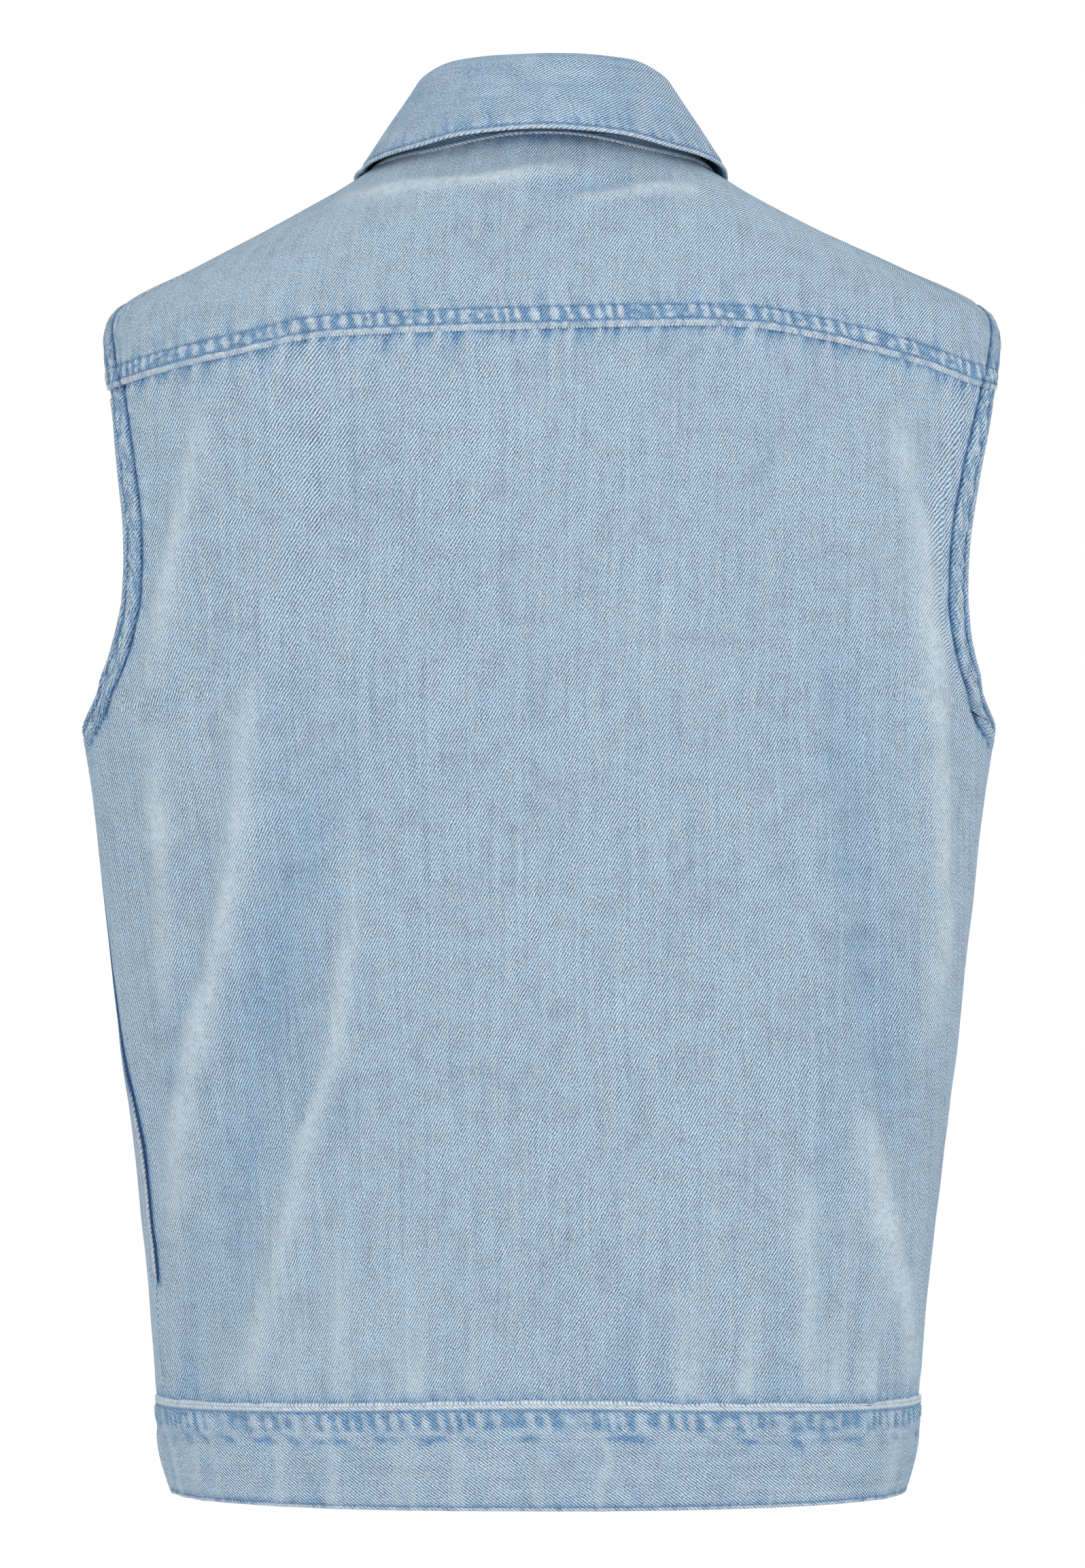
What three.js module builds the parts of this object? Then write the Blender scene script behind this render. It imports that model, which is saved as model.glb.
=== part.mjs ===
// A sleeveless denim vest, filled out as if worn, with a fold-over collar, a one-piece yoke that runs
// over the shoulders, a plain back, a buttoned front, in-seam side pockets and a waistband.
// Millimetres, +Z up. The front faces -Y, so +X is the wearer's left. The origin is between the
// shoulders, level with the top of the shoulder line where it meets the neck.
import * as THREE from "three";

// Driving sizes
const clothThick = 1.6;
const bandThick = 2.6; // the waistband is folded double
const leafThick = 2.2; // the collar leaf is two layers with their seam between them
const standThick = 1.8;
const seamGap = 0.3;
const hemZ = -624;
const waistSeamZ = -574.8;
const bandTopDrop = 5; // how much lower the waist seam is at the sides
const armpitZ = -262;
const yokeCornerZ = -104; // where the back yoke seam meets the armhole
const frontSeamDeg = 105; // the yoke ends in front of the shoulder line, along this angle
const frontCornerZ = -108; // where the front yoke seam meets the armhole
const placketHalf = 18;
const tuckedEdge = 12; // the wearer's left front ends here, under its button placket
const collarMeetDeg = 178; // the two collar ends meet at the centre front
const pocketTopZ = -337;
const pocketBottomZ = -521;
const pocketLipWide = 12;
const buttonRadius = 8.5;
const buttonTopZ = -88;
const buttonStep = 102.4;
const buttonCount = 6; // the last one fastens the waistband

const denimColour = 0xa5b9cb;
const metalColour = 0x9a948a;

// The worn shape, as level rings from the hem to the neck: half the width at the side, the depth at
// the centre back and centre front, how square the ring is (2 is an ellipse), and how far the whole
// ring sits to the wearer's left.
const rings = [
  { z: -626, side: 172.5, back: 124, front: 118, square: 2.3, lean: 2.2 },
  { z: -600, side: 179, back: 126, front: 120, square: 2.3, lean: 2.6 },
  { z: -566, side: 181.4, back: 128, front: 122, square: 2.3, lean: 3 },
  { z: -500, side: 187.6, back: 131, front: 126, square: 2.3, lean: 2.3 },
  { z: -400, side: 199.6, back: 133, front: 128, square: 2.35, lean: 2.3 },
  { z: -300, side: 210.8, back: 134, front: 130, square: 2.35, lean: 2.3 },
  { z: -262, side: 216, back: 134, front: 130, square: 2.35, lean: 2.4 },
  { z: -227, side: 217.5, back: 134, front: 129, square: 2.35, lean: 0.8 },
  { z: -190, side: 218.5, back: 133, front: 128, square: 2.35, lean: -1 },
  { z: -150, side: 217.5, back: 131, front: 121, square: 2.3, lean: -2.4 },
  { z: -104, side: 214, back: 125, front: 108, square: 2.2, lean: -3.9 },
  { z: -80, side: 212.3, back: 118, front: 97, square: 2.1, lean: -3.9 },
  { z: -70, side: 209.3, back: 115, front: 92, square: 2.05, lean: -3.7 },
  { z: -62, side: 200.5, back: 112, front: 88, square: 2, lean: -3 },
  { z: -46, side: 167.5, back: 104, front: 80, square: 2, lean: -1.8 },
  { z: -20.5, side: 116.2, back: 91.5, front: 67.5, square: 2, lean: 1 },
  { z: -8, side: 93.8, back: 85, front: 62, square: 2, lean: 1.5 },
  { z: 7, side: 72, back: 75.5, front: 55, square: 2, lean: 0.9 },
  { z: 14, side: 66, back: 71, front: 53, square: 2, lean: 0.6 },
  { z: 24, side: 60, back: 66, front: 50, square: 2, lean: 0.4 },
];

// Heights along the seams, by the angle round from the centre back
const yokeSeam = [
  { deg: -81, z: yokeCornerZ },
  { deg: -74, z: -101.6 },
  { deg: -66, z: -94 },
  { deg: -58, z: -87.4 },
  { deg: -50, z: -81.8 },
  { deg: -42, z: -78 },
  { deg: -33, z: -76.9 },
  { deg: -22, z: -77.4 },
  { deg: 0, z: -78.6 },
  { deg: 20, z: -79.6 },
  { deg: 45, z: -82 },
  { deg: 60, z: -91 },
  { deg: 75, z: -101 },
  { deg: 81, z: yokeCornerZ },
];
const shoulderEdge = [
  { deg: 81, z: yokeCornerZ },
  { deg: 85, z: -86 },
  { deg: 90, z: -71 },
  { deg: 96, z: -77 },
  { deg: 105, z: frontCornerZ },
];
const neckSeam = [
  { deg: 0, z: 14 },
  { deg: 45, z: 12.5 },
  { deg: 90, z: 7 },
  { deg: 120, z: -12 },
  { deg: 150, z: -42 },
  { deg: 180, z: -60 },
];
// Half-width of the body at the armhole's back and front edges, and the side seam's depth to the back
const armholeBack = [
  { z: -240, x: 207.2 },
  { z: -227, x: 202.5 },
  { z: -214, x: 199.5 },
  { z: -202, x: 197.9 },
  { z: -190, x: 197.7 },
  { z: -175, x: 198.4 },
  { z: -150, x: 201.7 },
  { z: -125, x: 205.8 },
  { z: -104, x: 209 },
];
const armholeFront = [
  { z: -240, x: 202 },
  { z: -222, x: 192 },
  { z: -195, x: 186.5 },
  { z: -160, x: 187 },
  { z: -130, x: 190.5 },
  { z: -108, x: 194 },
];
const sideSeam = {
  left: [
    { z: -570, y: 38 },
    { z: -520, y: 40.5 },
    { z: -461, y: 42 },
    { z: -442, y: 38 },
    { z: -423, y: 28.5 },
    { z: -400, y: 21 },
    { z: -360, y: 15 },
    { z: -337, y: 10 },
    { z: -262, y: 6 },
  ],
  right: [
    { z: -570, y: -6 },
    { z: -450, y: -4 },
    { z: -337, y: -2 },
    { z: -262, y: 0 },
  ],
};

// Soft folds. A "down" fold runs mostly up and down, an "across" fold mostly sideways. Each has its
// two ends, its bow at mid-length, its half-width and its height, which is below nought in a trough.
const folds = [
  { face: "back", run: "down", x1: 134, z1: -250, x2: 178, z2: -520, bow: -3, wide: 9, high: 6 },
  { face: "back", run: "down", x1: 186, z1: -228, x2: 192, z2: -398, bow: -4, wide: 7, high: 3.5 },
  { face: "back", run: "down", x1: 112, z1: -450, x2: 138, z2: -575, bow: 0, wide: 8, high: 4 },
  { face: "back", run: "down", x1: 82, z1: -255, x2: 150, z2: -545, bow: 2, wide: 16, high: -5 },
  { face: "back", run: "down", x1: 86, z1: -300, x2: 90, z2: -420, bow: 0, wide: 11, high: 2 },
  { face: "back", run: "down", x1: 150, z1: -135, x2: 170, z2: -222, bow: 0, wide: 7, high: 3 },
  { face: "back", run: "down", x1: -168, z1: -108, x2: -182, z2: -405, bow: -8, wide: 8, high: 4.5 },
  { face: "back", run: "down", x1: -140, z1: -215, x2: -178, z2: -510, bow: 0, wide: 11, high: -5 },
  { face: "back", run: "down", x1: -151, z1: -420, x2: -174, z2: -575, bow: 0, wide: 8, high: 5 },
  { face: "back", run: "down", x1: -116, z1: -445, x2: -123, z2: -560, bow: 0, wide: 9, high: 2 },
  { face: "back", run: "across", x1: 92, z1: -24, x2: -14, z2: -6, bow: 3, wide: 5, high: 3.2 },
  { face: "back", run: "across", x1: 22, z1: -12, x2: -66, z2: -15, bow: -5, wide: 4.5, high: -2.6 },
  { face: "back", run: "across", x1: 6, z1: -25, x2: -92, z2: -24, bow: -2, wide: 6, high: 2 },
  { face: "front", run: "down", x1: 156, z1: -235, x2: 128, z2: -540, bow: -5, wide: 11, high: 5 },
  { face: "front", run: "down", x1: 104, z1: -290, x2: 84, z2: -560, bow: 3, wide: 15, high: -4.5 },
  { face: "front", run: "down", x1: 62, z1: -330, x2: 58, z2: -575, bow: 0, wide: 10, high: 2.5 },
  { face: "front", run: "down", x1: -148, z1: -225, x2: -166, z2: -520, bow: 4, wide: 10, high: 5 },
  { face: "front", run: "down", x1: -96, z1: -280, x2: -112, z2: -560, bow: 0, wide: 14, high: -4 },
  { face: "front", run: "down", x1: -66, z1: -400, x2: -70, z2: -575, bow: 0, wide: 9, high: 2.5 },
  { face: "front", run: "down", x1: 150, z1: -120, x2: 132, z2: -250, bow: 3, wide: 9, high: 3 },
  { face: "front", run: "down", x1: -152, z1: -125, x2: -136, z2: -250, bow: -3, wide: 9, high: 3 },
];

// The collar, by how far round it is from the centre back (0) to its front end (1): the angle, the
// distance from the neck's axis and the height of its top fold and of its free edge.
const collarFold = [
  { share: -0.25, deg: -45, out: 58.5, z: 47.6 },
  { share: 0, deg: 0, out: 61, z: 49.2 },
  { share: 0.25, deg: 45, out: 58.5, z: 47.6 },
  { share: 0.5, deg: 90, out: 56, z: 37 },
  { share: 0.75, deg: 135, out: 65, z: 2 },
  { share: 1, deg: collarMeetDeg, out: 75, z: -36 },
];
const collarEdge = [
  { share: -0.125, deg: -22.5, out: 88, z: 13.4 },
  { share: 0, deg: 0, out: 88.5, z: 15.6 },
  { share: 0.125, deg: 22.5, out: 88, z: 13.4 },
  { share: 0.25, deg: 45, out: 86, z: 8.4 },
  { share: 0.5, deg: 88, out: 87.5, z: 0.5 },
  { share: 0.6, deg: 102, out: 90, z: -3 },
  { share: 0.7, deg: 113, out: 96, z: -15 },
  { share: 0.8, deg: 124, out: 104.5, z: -35 },
  { share: 1, deg: 150, out: 119, z: -95 },
];
const leafClearance = 4.2; // from the leaf's outer face to the yoke or front under it

const radians = THREE.MathUtils.degToRad;
const { smoothstep, lerp, clamp } = THREE.MathUtils;

// A smooth curve through a table's rows that never overshoots them.
function curveThrough(rows, from, to) {
  const xs = rows.map((row) => row[from]);
  const ys = rows.map((row) => row[to]);
  const slopes = xs.slice(1).map((x, i) => (ys[i + 1] - ys[i]) / (x - xs[i]));
  const tangents = xs.map((_, i) => {
    if (i === 0) return slopes[0];
    if (i === slopes.length) return slopes[i - 1];
    const [before, after] = [slopes[i - 1], slopes[i]];
    return before * after > 0 ? (2 * before * after) / (before + after) : 0;
  });
  return (x) => {
    const at = clamp(x, xs[0], xs[xs.length - 1]);
    let i = 0;
    while (i < slopes.length - 1 && at > xs[i + 1]) i += 1;
    const span = xs[i + 1] - xs[i];
    const t = (at - xs[i]) / span;
    return (
      (1 + 2 * t) * (1 - t) ** 2 * ys[i] +
      t * (1 - t) ** 2 * span * tangents[i] +
      t * t * (3 - 2 * t) * ys[i + 1] +
      t * t * (t - 1) * span * tangents[i + 1]
    );
  };
}

const ringAt = Object.fromEntries(
  ["side", "back", "front", "square", "lean"].map((name) => [name, curveThrough(rings, "z", name)]),
);

// Distance of the worn shape from its axis, at an angle round from the centre back and a height.
function formRadius(angle, z) {
  const depth = Math.cos(angle) > 0 ? ringAt.back(z) : ringAt.front(z);
  const square = ringAt.square(z);
  const across = (Math.abs(Math.sin(angle)) / ringAt.side(z)) ** square;
  const along = (Math.abs(Math.cos(angle)) / depth) ** square;
  return (across + along) ** (-1 / square);
}

function plainForm(angle, z) {
  const out = formRadius(angle, z);
  return new THREE.Vector3(out * Math.sin(angle) + ringAt.lean(z), out * Math.cos(angle), z);
}

// The outward normal of a surface given by an angle and a height.
function surfaceNormal(surface, angle, z) {
  const [turn, rise] = [0.01, 1];
  const alongAngle = surface(angle + turn, z).sub(surface(angle - turn, z));
  const alongHeight = surface(angle, z + rise).sub(surface(angle, z - rise));
  return alongHeight.cross(alongAngle).normalize();
}

function foldHeight(point) {
  let height = 0;
  for (const fold of folds) {
    const facing = smoothstep(fold.face === "back" ? point.y : -point.y, 0, 25);
    const t =
      fold.run === "down"
        ? (point.z - fold.z1) / (fold.z2 - fold.z1)
        : (point.x - fold.x1) / (fold.x2 - fold.x1);
    if (t <= 0 || t >= 1 || facing === 0) continue;
    const bowed = fold.bow * 4 * t * (1 - t);
    const aside =
      fold.run === "down"
        ? point.x - lerp(fold.x1, fold.x2, t) - bowed
        : point.z - lerp(fold.z1, fold.z2, t) - bowed;
    height += facing * fold.high * (4 * t * (1 - t)) ** 0.6 * Math.exp(-((aside / fold.wide) ** 2));
  }
  return height;
}

// A point of the cloth, moved out from it by a distance.
function onForm(angle, z, out = 0) {
  const point = plainForm(angle, z);
  return point.addScaledVector(surfaceNormal(plainForm, angle, z), foldHeight(point) + out);
}

// The angle at which the ring at a height is that far from the centre line, or that far back.
function angleAtHalfWidth(x, z, face) {
  const square = ringAt.square(z);
  const share = Math.min(1, x / ringAt.side(z));
  const depth = face === "back" ? ringAt.back(z) : -ringAt.front(z);
  return Math.atan2(x, depth * (1 - share ** square) ** (1 / square));
}
function angleAtDepth(y, z) {
  const square = ringAt.square(z);
  const share = Math.abs(y) / (y > 0 ? ringAt.back(z) : ringAt.front(z));
  return Math.atan2(ringAt.side(z) * (1 - share ** square) ** (1 / square), y);
}

// The seam and edge lines, as angles and heights. The same on both sides but for the side seam.
const yokeSeamAt = curveThrough(yokeSeam, "deg", "z");
const shoulderEdgeAt = curveThrough(shoulderEdge, "deg", "z");
const neckSeamAt = curveThrough(neckSeam, "deg", "z");
const backHalfWidthAt = curveThrough(armholeBack, "z", "x");
const frontHalfWidthAt = curveThrough(armholeFront, "z", "x");
const seamDepthAt = {
  left: curveThrough(sideSeam.left, "z", "y"),
  right: curveThrough(sideSeam.right, "z", "y"),
};
const sideSeamAngle = (side, z) => angleAtDepth(seamDepthAt[side](z), z);

// The armhole's edge runs into the side seam over the last stretch above the armpit.
function armholeAngle(side, z, face) {
  const halfWidthAt = face === "back" ? backHalfWidthAt : frontHalfWidthAt;
  const table = face === "back" ? armholeBack : armholeFront;
  const edge = angleAtHalfWidth(halfWidthAt(Math.max(z, table[0].z)), Math.max(z, table[0].z), face);
  if (z >= table[0].z) return edge;
  const down = (table[0].z - z) / (table[0].z - armpitZ);
  const round = 1 - Math.sqrt(1 - down * down);
  return lerp(edge, sideSeamAngle(side, armpitZ), lerp(down * down, round, 0.5));
}

// A closed wall of cloth from a grid of outer and inner points.
function clothWall(columns, rows, outerAt, innerAt) {
  const points = [];
  for (const pointAt of [outerAt, innerAt])
    for (const row of rows) for (const column of columns) points.push(pointAt(column, row));
  const [across, up] = [columns.length, rows.length];
  const layer = across * up;
  const at = (i, j, inner = 0) => inner * layer + j * across + i;
  const faces = [];
  const apart = (a, b) => points[a].distanceTo(points[b]);
  const quad = (a, b, c, d) => {
    if (apart(a, c) <= apart(b, d)) faces.push(a, b, c, a, c, d);
    else faces.push(a, b, d, b, c, d);
  };
  for (let j = 0; j < up - 1; j += 1)
    for (let i = 0; i < across - 1; i += 1) {
      quad(at(i, j), at(i + 1, j), at(i + 1, j + 1), at(i, j + 1));
      quad(at(i, j, 1), at(i, j + 1, 1), at(i + 1, j + 1, 1), at(i + 1, j, 1));
    }
  for (let i = 0; i < across - 1; i += 1) {
    quad(at(i, 0), at(i, 0, 1), at(i + 1, 0, 1), at(i + 1, 0));
    quad(at(i, up - 1), at(i + 1, up - 1), at(i + 1, up - 1, 1), at(i, up - 1, 1));
  }
  for (let j = 0; j < up - 1; j += 1) {
    quad(at(0, j), at(0, j + 1), at(0, j + 1, 1), at(0, j, 1));
    quad(at(across - 1, j), at(across - 1, j, 1), at(across - 1, j + 1, 1), at(across - 1, j + 1));
  }
  let sixVolumes = 0;
  for (let k = 0; k < faces.length; k += 3) {
    const [a, b, c] = [points[faces[k]], points[faces[k + 1]], points[faces[k + 2]]];
    sixVolumes += a.dot(b.clone().cross(c));
  }
  if (sixVolumes < 0) faces.reverse();
  const geometry = new THREE.BufferGeometry().setFromPoints(points);
  geometry.setIndex(faces);
  geometry.computeVertexNormals();
  return geometry;
}

const steps = (from, to, count) =>
  Array.from({ length: count + 1 }, (_, i) => lerp(from, to, i / count));
const upTo = (count) => Array.from({ length: count + 1 }, (_, i) => i);

// The back panel and the yoke above it have the same columns, close together where the folds are.
const backShares = [...steps(0, 0.34, 17), ...steps(0.34, 0.66, 9).slice(1), ...steps(0.66, 1, 17).slice(1)];
const backColumns = backShares.length - 1;
const acrossBack = (from, to) => backShares.map((share) => lerp(from, to, share));

// Joins stretches of a border into one list of [angle, height] points.
function border(...stretches) {
  return stretches.flatMap((points, i) => (i === 0 ? points : points.slice(1)));
}

// Places the inside of a panel between its four borders, in angle and height.
function panelBetween(bottom, top, start, end) {
  const mix = (i, j, k) => {
    const s = bottom.length === backShares.length ? backShares[i] : i / (bottom.length - 1);
    const t = j / (start.length - 1);
    const sides = (1 - s) * start[j][k] + s * end[j][k];
    const ends = (1 - t) * bottom[i][k] + t * top[i][k];
    const low = (1 - s) * start[0][k] + s * end[0][k];
    const high = (1 - s) * start.at(-1)[k] + s * end.at(-1)[k];
    return sides + ends - (1 - t) * low - t * high;
  };
  return (i, j) => [mix(i, j, 0), mix(i, j, 1)];
}

// A wall of cloth that lies on the worn shape. Its outer face is that far out from it.
function panelWall(place, across, up, thick, outerFace = 0) {
  const pointAt = (out) => (i, j) => onForm(...place(i, j), out);
  return clothWall(upTo(across), upTo(up), pointAt(outerFace), pointAt(outerFace - thick));
}

const bandTopAt = (angle) => waistSeamZ - bandTopDrop * Math.sin(angle) ** 2;
const halfGap = seamGap / 2;
const sideSeamRows = 12; // the panels on both sides of a side seam have the same rows
const yokeRows = 6;
const frontArmholeRows = 8;
const frontRows = sideSeamRows + frontArmholeRows + yokeRows;
const ease = (t) => t ** 1.8; // rows are closest together at the armpit

// The border up one side of a panel: the side seam, then the armhole's edge.
function sideBorder(side, face, sign, armholeRows, topZ) {
  const apart = (face === "back" ? -1 : 1) * (halfGap / 200);
  const seam = steps(0, 1, sideSeamRows).map((t) => {
    const low = bandTopAt(sideSeamAngle(side, waistSeamZ)) + halfGap;
    const z = lerp(low, armpitZ, t);
    return [sign * (sideSeamAngle(side, z) + apart), z];
  });
  const armhole = steps(0, 1, armholeRows).map((t) => {
    const z = lerp(armpitZ, topZ, ease(t));
    return [sign * (armholeAngle(side, z, face) + apart), z];
  });
  return border(seam, armhole);
}

function backPanel() {
  const start = sideBorder("right", "back", -1, 9, yokeCornerZ - halfGap);
  const end = sideBorder("left", "back", 1, 9, yokeCornerZ - halfGap);
  const bottom = acrossBack(start[0][0], end[0][0]).map((a) => [a, bandTopAt(a) + halfGap]);
  const cornerDeg = THREE.MathUtils.radToDeg(end.at(-1)[0]);
  const top = acrossBack(-cornerDeg, cornerDeg).map((d) => [
    radians(d),
    yokeSeamAt((d * 81) / cornerDeg) - halfGap,
  ]);
  return panelWall(panelBetween(bottom, top, start, end), backColumns, start.length - 1, clothThick);
}

// From the yoke seam at the back, over the shoulders, to a seam in front of each shoulder.
function backYoke() {
  const cornerDeg = THREE.MathUtils.radToDeg(armholeAngle("left", yokeCornerZ, "back"));
  const overShoulder = steps(cornerDeg, frontSeamDeg - 0.1, 7);
  const columns = [
    ...overShoulder.toReversed().map((d) => -d),
    ...acrossBack(-cornerDeg, cornerDeg).slice(1, -1),
    ...overShoulder,
  ];
  const lowAt = (d) => {
    const turned = Math.abs(d);
    if (turned <= cornerDeg) return yokeSeamAt((d * 81) / cornerDeg) + halfGap;
    const past = (turned - cornerDeg) / (frontSeamDeg - cornerDeg);
    return shoulderEdgeAt(lerp(81, frontSeamDeg, past)) + halfGap;
  };
  const place = (i, j) => [
    radians(columns[i]),
    lerp(lowAt(columns[i]), neckSeamAt(Math.abs(columns[i])), j / yokeRows),
  ];
  return panelWall(place, columns.length - 1, yokeRows, clothThick, 0.4);
}

function frontPanel(side, sign, innerEdge) {
  const across = 15;
  const frontAngle = radians(frontSeamDeg + 0.1);
  const below = sideBorder(side, "front", sign, frontArmholeRows, frontCornerZ - halfGap);
  below.at(-1)[0] = sign * frontAngle;
  const besideYoke = steps(frontCornerZ + halfGap, neckSeamAt(frontSeamDeg), yokeRows).map((z) => [
    sign * frontAngle,
    z,
  ]);
  const start = [...below.slice(0, -1), ...besideYoke];
  const edgeAngle = (z) => sign * angleAtHalfWidth(innerEdge, z, "front");
  const neckLow = neckSeamAt(Math.abs(THREE.MathUtils.radToDeg(edgeAngle(neckSeamAt(180)))));
  const end = steps(bandTopAt(Math.PI) + halfGap, neckLow, frontRows).map((z) => [edgeAngle(z), z]);
  const bottom = steps(start[0][0], end[0][0], across).map((a) => [a, bandTopAt(a) + halfGap]);
  const top = steps(start.at(-1)[0], end.at(-1)[0], across).map((a) => [
    a,
    neckSeamAt(Math.abs(THREE.MathUtils.radToDeg(a))),
  ]);
  top[across] = end.at(-1);
  return panelWall(panelBetween(bottom, top, start, end), across, frontRows, clothThick);
}

// A straight strip down the centre front, between two distances from the centre line.
function placket(fromX, toX, outerFace) {
  const across = 3;
  const edgeAngle = (x, z) => Math.sign(x) * angleAtHalfWidth(Math.abs(x), z, "front");
  const turned = (x, z) => (x < 0 ? edgeAngle(x, z) + 2 * Math.PI : edgeAngle(x, z));
  const place = (i, j) => {
    const z = lerp(bandTopAt(Math.PI) + halfGap, neckSeamAt(180) - halfGap, j / frontRows);
    return [turned(lerp(fromX, toX, i / across), z), z];
  };
  return panelWall(place, across, frontRows, clothThick, outerFace);
}

// One strip round the waist. Its left end laps over its right end at the centre front.
function waistband() {
  const [across, up] = [60, 2];
  const underEnd = -(2 * Math.PI - angleAtHalfWidth(tuckedEdge - halfGap, hemZ, "front"));
  const overEnd = 2 * Math.PI - angleAtHalfWidth(placketHalf, hemZ, "front");
  const rampStart = angleAtHalfWidth(46, hemZ, "front");
  const lapStart = angleAtHalfWidth(tuckedEdge + 2, hemZ, "front");
  const angles = [...steps(underEnd, rampStart, across - 6), ...steps(rampStart, overEnd, 7).slice(1)];
  const rise = (angle) => 0.9 + (bandThick + seamGap) * smoothstep(angle, rampStart, lapStart);
  const pointAt = (inner) => (i, j) => {
    const z = lerp(hemZ, bandTopAt(angles[i]) - halfGap, j / up);
    return onForm(angles[i], z, rise(angles[i]) - inner * bandThick);
  };
  return clothWall(upTo(angles.length - 1), upTo(up), pointAt(0), pointAt(1));
}

const foldAt = Object.fromEntries(
  ["deg", "out", "z"].map((name) => [name, curveThrough(collarFold, "share", name)]),
);
const edgeAt = Object.fromEntries(
  ["deg", "out", "z"].map((name) => [name, curveThrough(collarEdge, "share", name)]),
);
const fromAxis = (angle, out, z) => new THREE.Vector3(out * Math.sin(angle), out * Math.cos(angle), z);

// The collar stand, from the neck seam up to the fold. Share runs from -1 to 1 round the neck.
function standPoint(share, t, inward) {
  const angle = Math.sign(share) * radians(foldAt.deg(Math.abs(share)));
  const seamZ = neckSeamAt(Math.abs(THREE.MathUtils.radToDeg(angle)));
  const seam = onForm(angle, seamZ, 0.6);
  seam.z += seamGap + 0.2;
  const fold = fromAxis(angle, foldAt.out(Math.abs(share)) - 0.8, foldAt.z(Math.abs(share)) - 0.3);
  const point = seam.lerp(fold, t);
  const outwards = new THREE.Vector3(Math.sin(angle), Math.cos(angle), 0.25).normalize();
  return point.addScaledVector(outwards, -Math.sin(Math.PI * t) - inward);
}

function collarStand() {
  const at = (inward) => (share, t) => standPoint(share, t, inward);
  return clothWall(steps(-1, 1, 40), steps(0, 1, 3), at(0), at(standThick));
}

// The collar leaf's outer face: over the fold, then down and out to its free edge, and nowhere
// nearer to the yoke and the fronts than the leaf is thick.
function leafFace(share, t) {
  const round = Math.abs(share);
  const side = Math.sign(share);
  const angle = side * radians(lerp(foldAt.deg(round), edgeAt.deg(round), t));
  const overFold = 1 - (1 - Math.min(1, t / 0.1)) ** 2;
  const z = lerp(foldAt.z(round), edgeAt.z(round), t) + 3 * (1 - t * t);
  const line = lerp(foldAt.out(round), edgeAt.out(round), t);
  let out = line - 0.9 + 3.9 * overFold - 3 * t;
  if (z < neckSeamAt(Math.abs(THREE.MathUtils.radToDeg(angle))) + 12) {
    const normal = surfaceNormal(plainForm, angle, z);
    const level = normal.x * Math.sin(angle) + normal.y * Math.cos(angle);
    const clear = formRadius(angle, z) + leafClearance / Math.max(0.35, level);
    out = Math.max(out, clear + ringAt.lean(z) * Math.sin(angle));
  }
  return fromAxis(angle, out, z);
}

function collarLeaf() {
  const shares = steps(-1, 1, 44);
  const rows = [0, 0.04, 0.1, 0.3, 0.55, 0.78, 1];
  const inner = (share, t) => {
    const [ds, dt] = [0.01, 0.02];
    const along = leafFace(share + ds, t).sub(leafFace(share - ds, t));
    const down = leafFace(share, Math.min(1, t + dt)).sub(leafFace(share, Math.max(0, t - dt)));
    const normal = along.cross(down).normalize();
    return leafFace(share, t).addScaledVector(normal, -leafThick);
  };
  return clothWall(shares, rows, leafFace, inner);
}

// The folded, edge-stitched lip of a side pocket, on the front beside the side seam.
function pocketMouth(side, sign) {
  const [across, up] = [2, 14];
  const place = (i, j) => {
    const z = lerp(pocketBottomZ, pocketTopZ, j / up);
    const aside = (0.7 + (pocketLipWide * i) / across) / ringAt.side(z);
    return [sign * (sideSeamAngle(side, z) + aside), z];
  };
  return panelWall(place, across, up, clothThick, 2 * seamGap + clothThick);
}

// A metal shank button, standing on the placket at the centre front.
function button(z, lift) {
  const profile = [
    [0, 0],
    [3.6, 0],
    [3.6, 1.3],
    [buttonRadius - 0.6, 1.3],
    [buttonRadius, 2.1],
    [buttonRadius - 0.5, 3.2],
    [buttonRadius - 2.2, 3.5],
    [0, 4.1],
  ].map(([r, h]) => new THREE.Vector2(r, h));
  const geometry = new THREE.LatheGeometry(profile, 14);
  const normal = surfaceNormal(plainForm, Math.PI, z);
  const turn = new THREE.Quaternion().setFromUnitVectors(new THREE.Vector3(0, 1, 0), normal);
  geometry.applyQuaternion(turn);
  const seat = onForm(Math.PI, z, lift + seamGap);
  return geometry.translate(seat.x, seat.y, seat.z);
}

const denim = () => new THREE.MeshStandardMaterial({ color: denimColour, roughness: 0.95, metalness: 0 });
const metal = () => new THREE.MeshStandardMaterial({ color: metalColour, roughness: 0.4, metalness: 1 });

const vest = new THREE.Group();
function add(name, geometry, material) {
  const mesh = new THREE.Mesh(geometry, material);
  mesh.name = name;
  vest.add(mesh);
}

const placketFace = seamGap + clothThick + 0.2;
add("back_panel", backPanel(), denim());
add("back_yoke", backYoke(), denim());
add("front_left", frontPanel("left", 1, tuckedEdge + halfGap), denim());
add("front_right", frontPanel("right", -1, placketHalf + halfGap), denim());
add("placket_left", placket(placketHalf, -placketHalf, placketFace), denim());
add("placket_right", placket(tuckedEdge - halfGap, -placketHalf + halfGap, 0), denim());
add("waistband", waistband(), denim());
add("collar_stand", collarStand(), denim());
add("collar_leaf", collarLeaf(), denim());
add("pocket_mouth_left", pocketMouth("left", 1), denim());
add("pocket_mouth_right", pocketMouth("right", -1), denim());
for (let i = 0; i < buttonCount; i += 1) {
  const onBand = i === buttonCount - 1;
  const lift = onBand ? 0.9 + bandThick + seamGap : placketFace;
  add("button_" + (i + 1), button(buttonTopZ - i * buttonStep, lift), metal());
}

export default vest;
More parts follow.
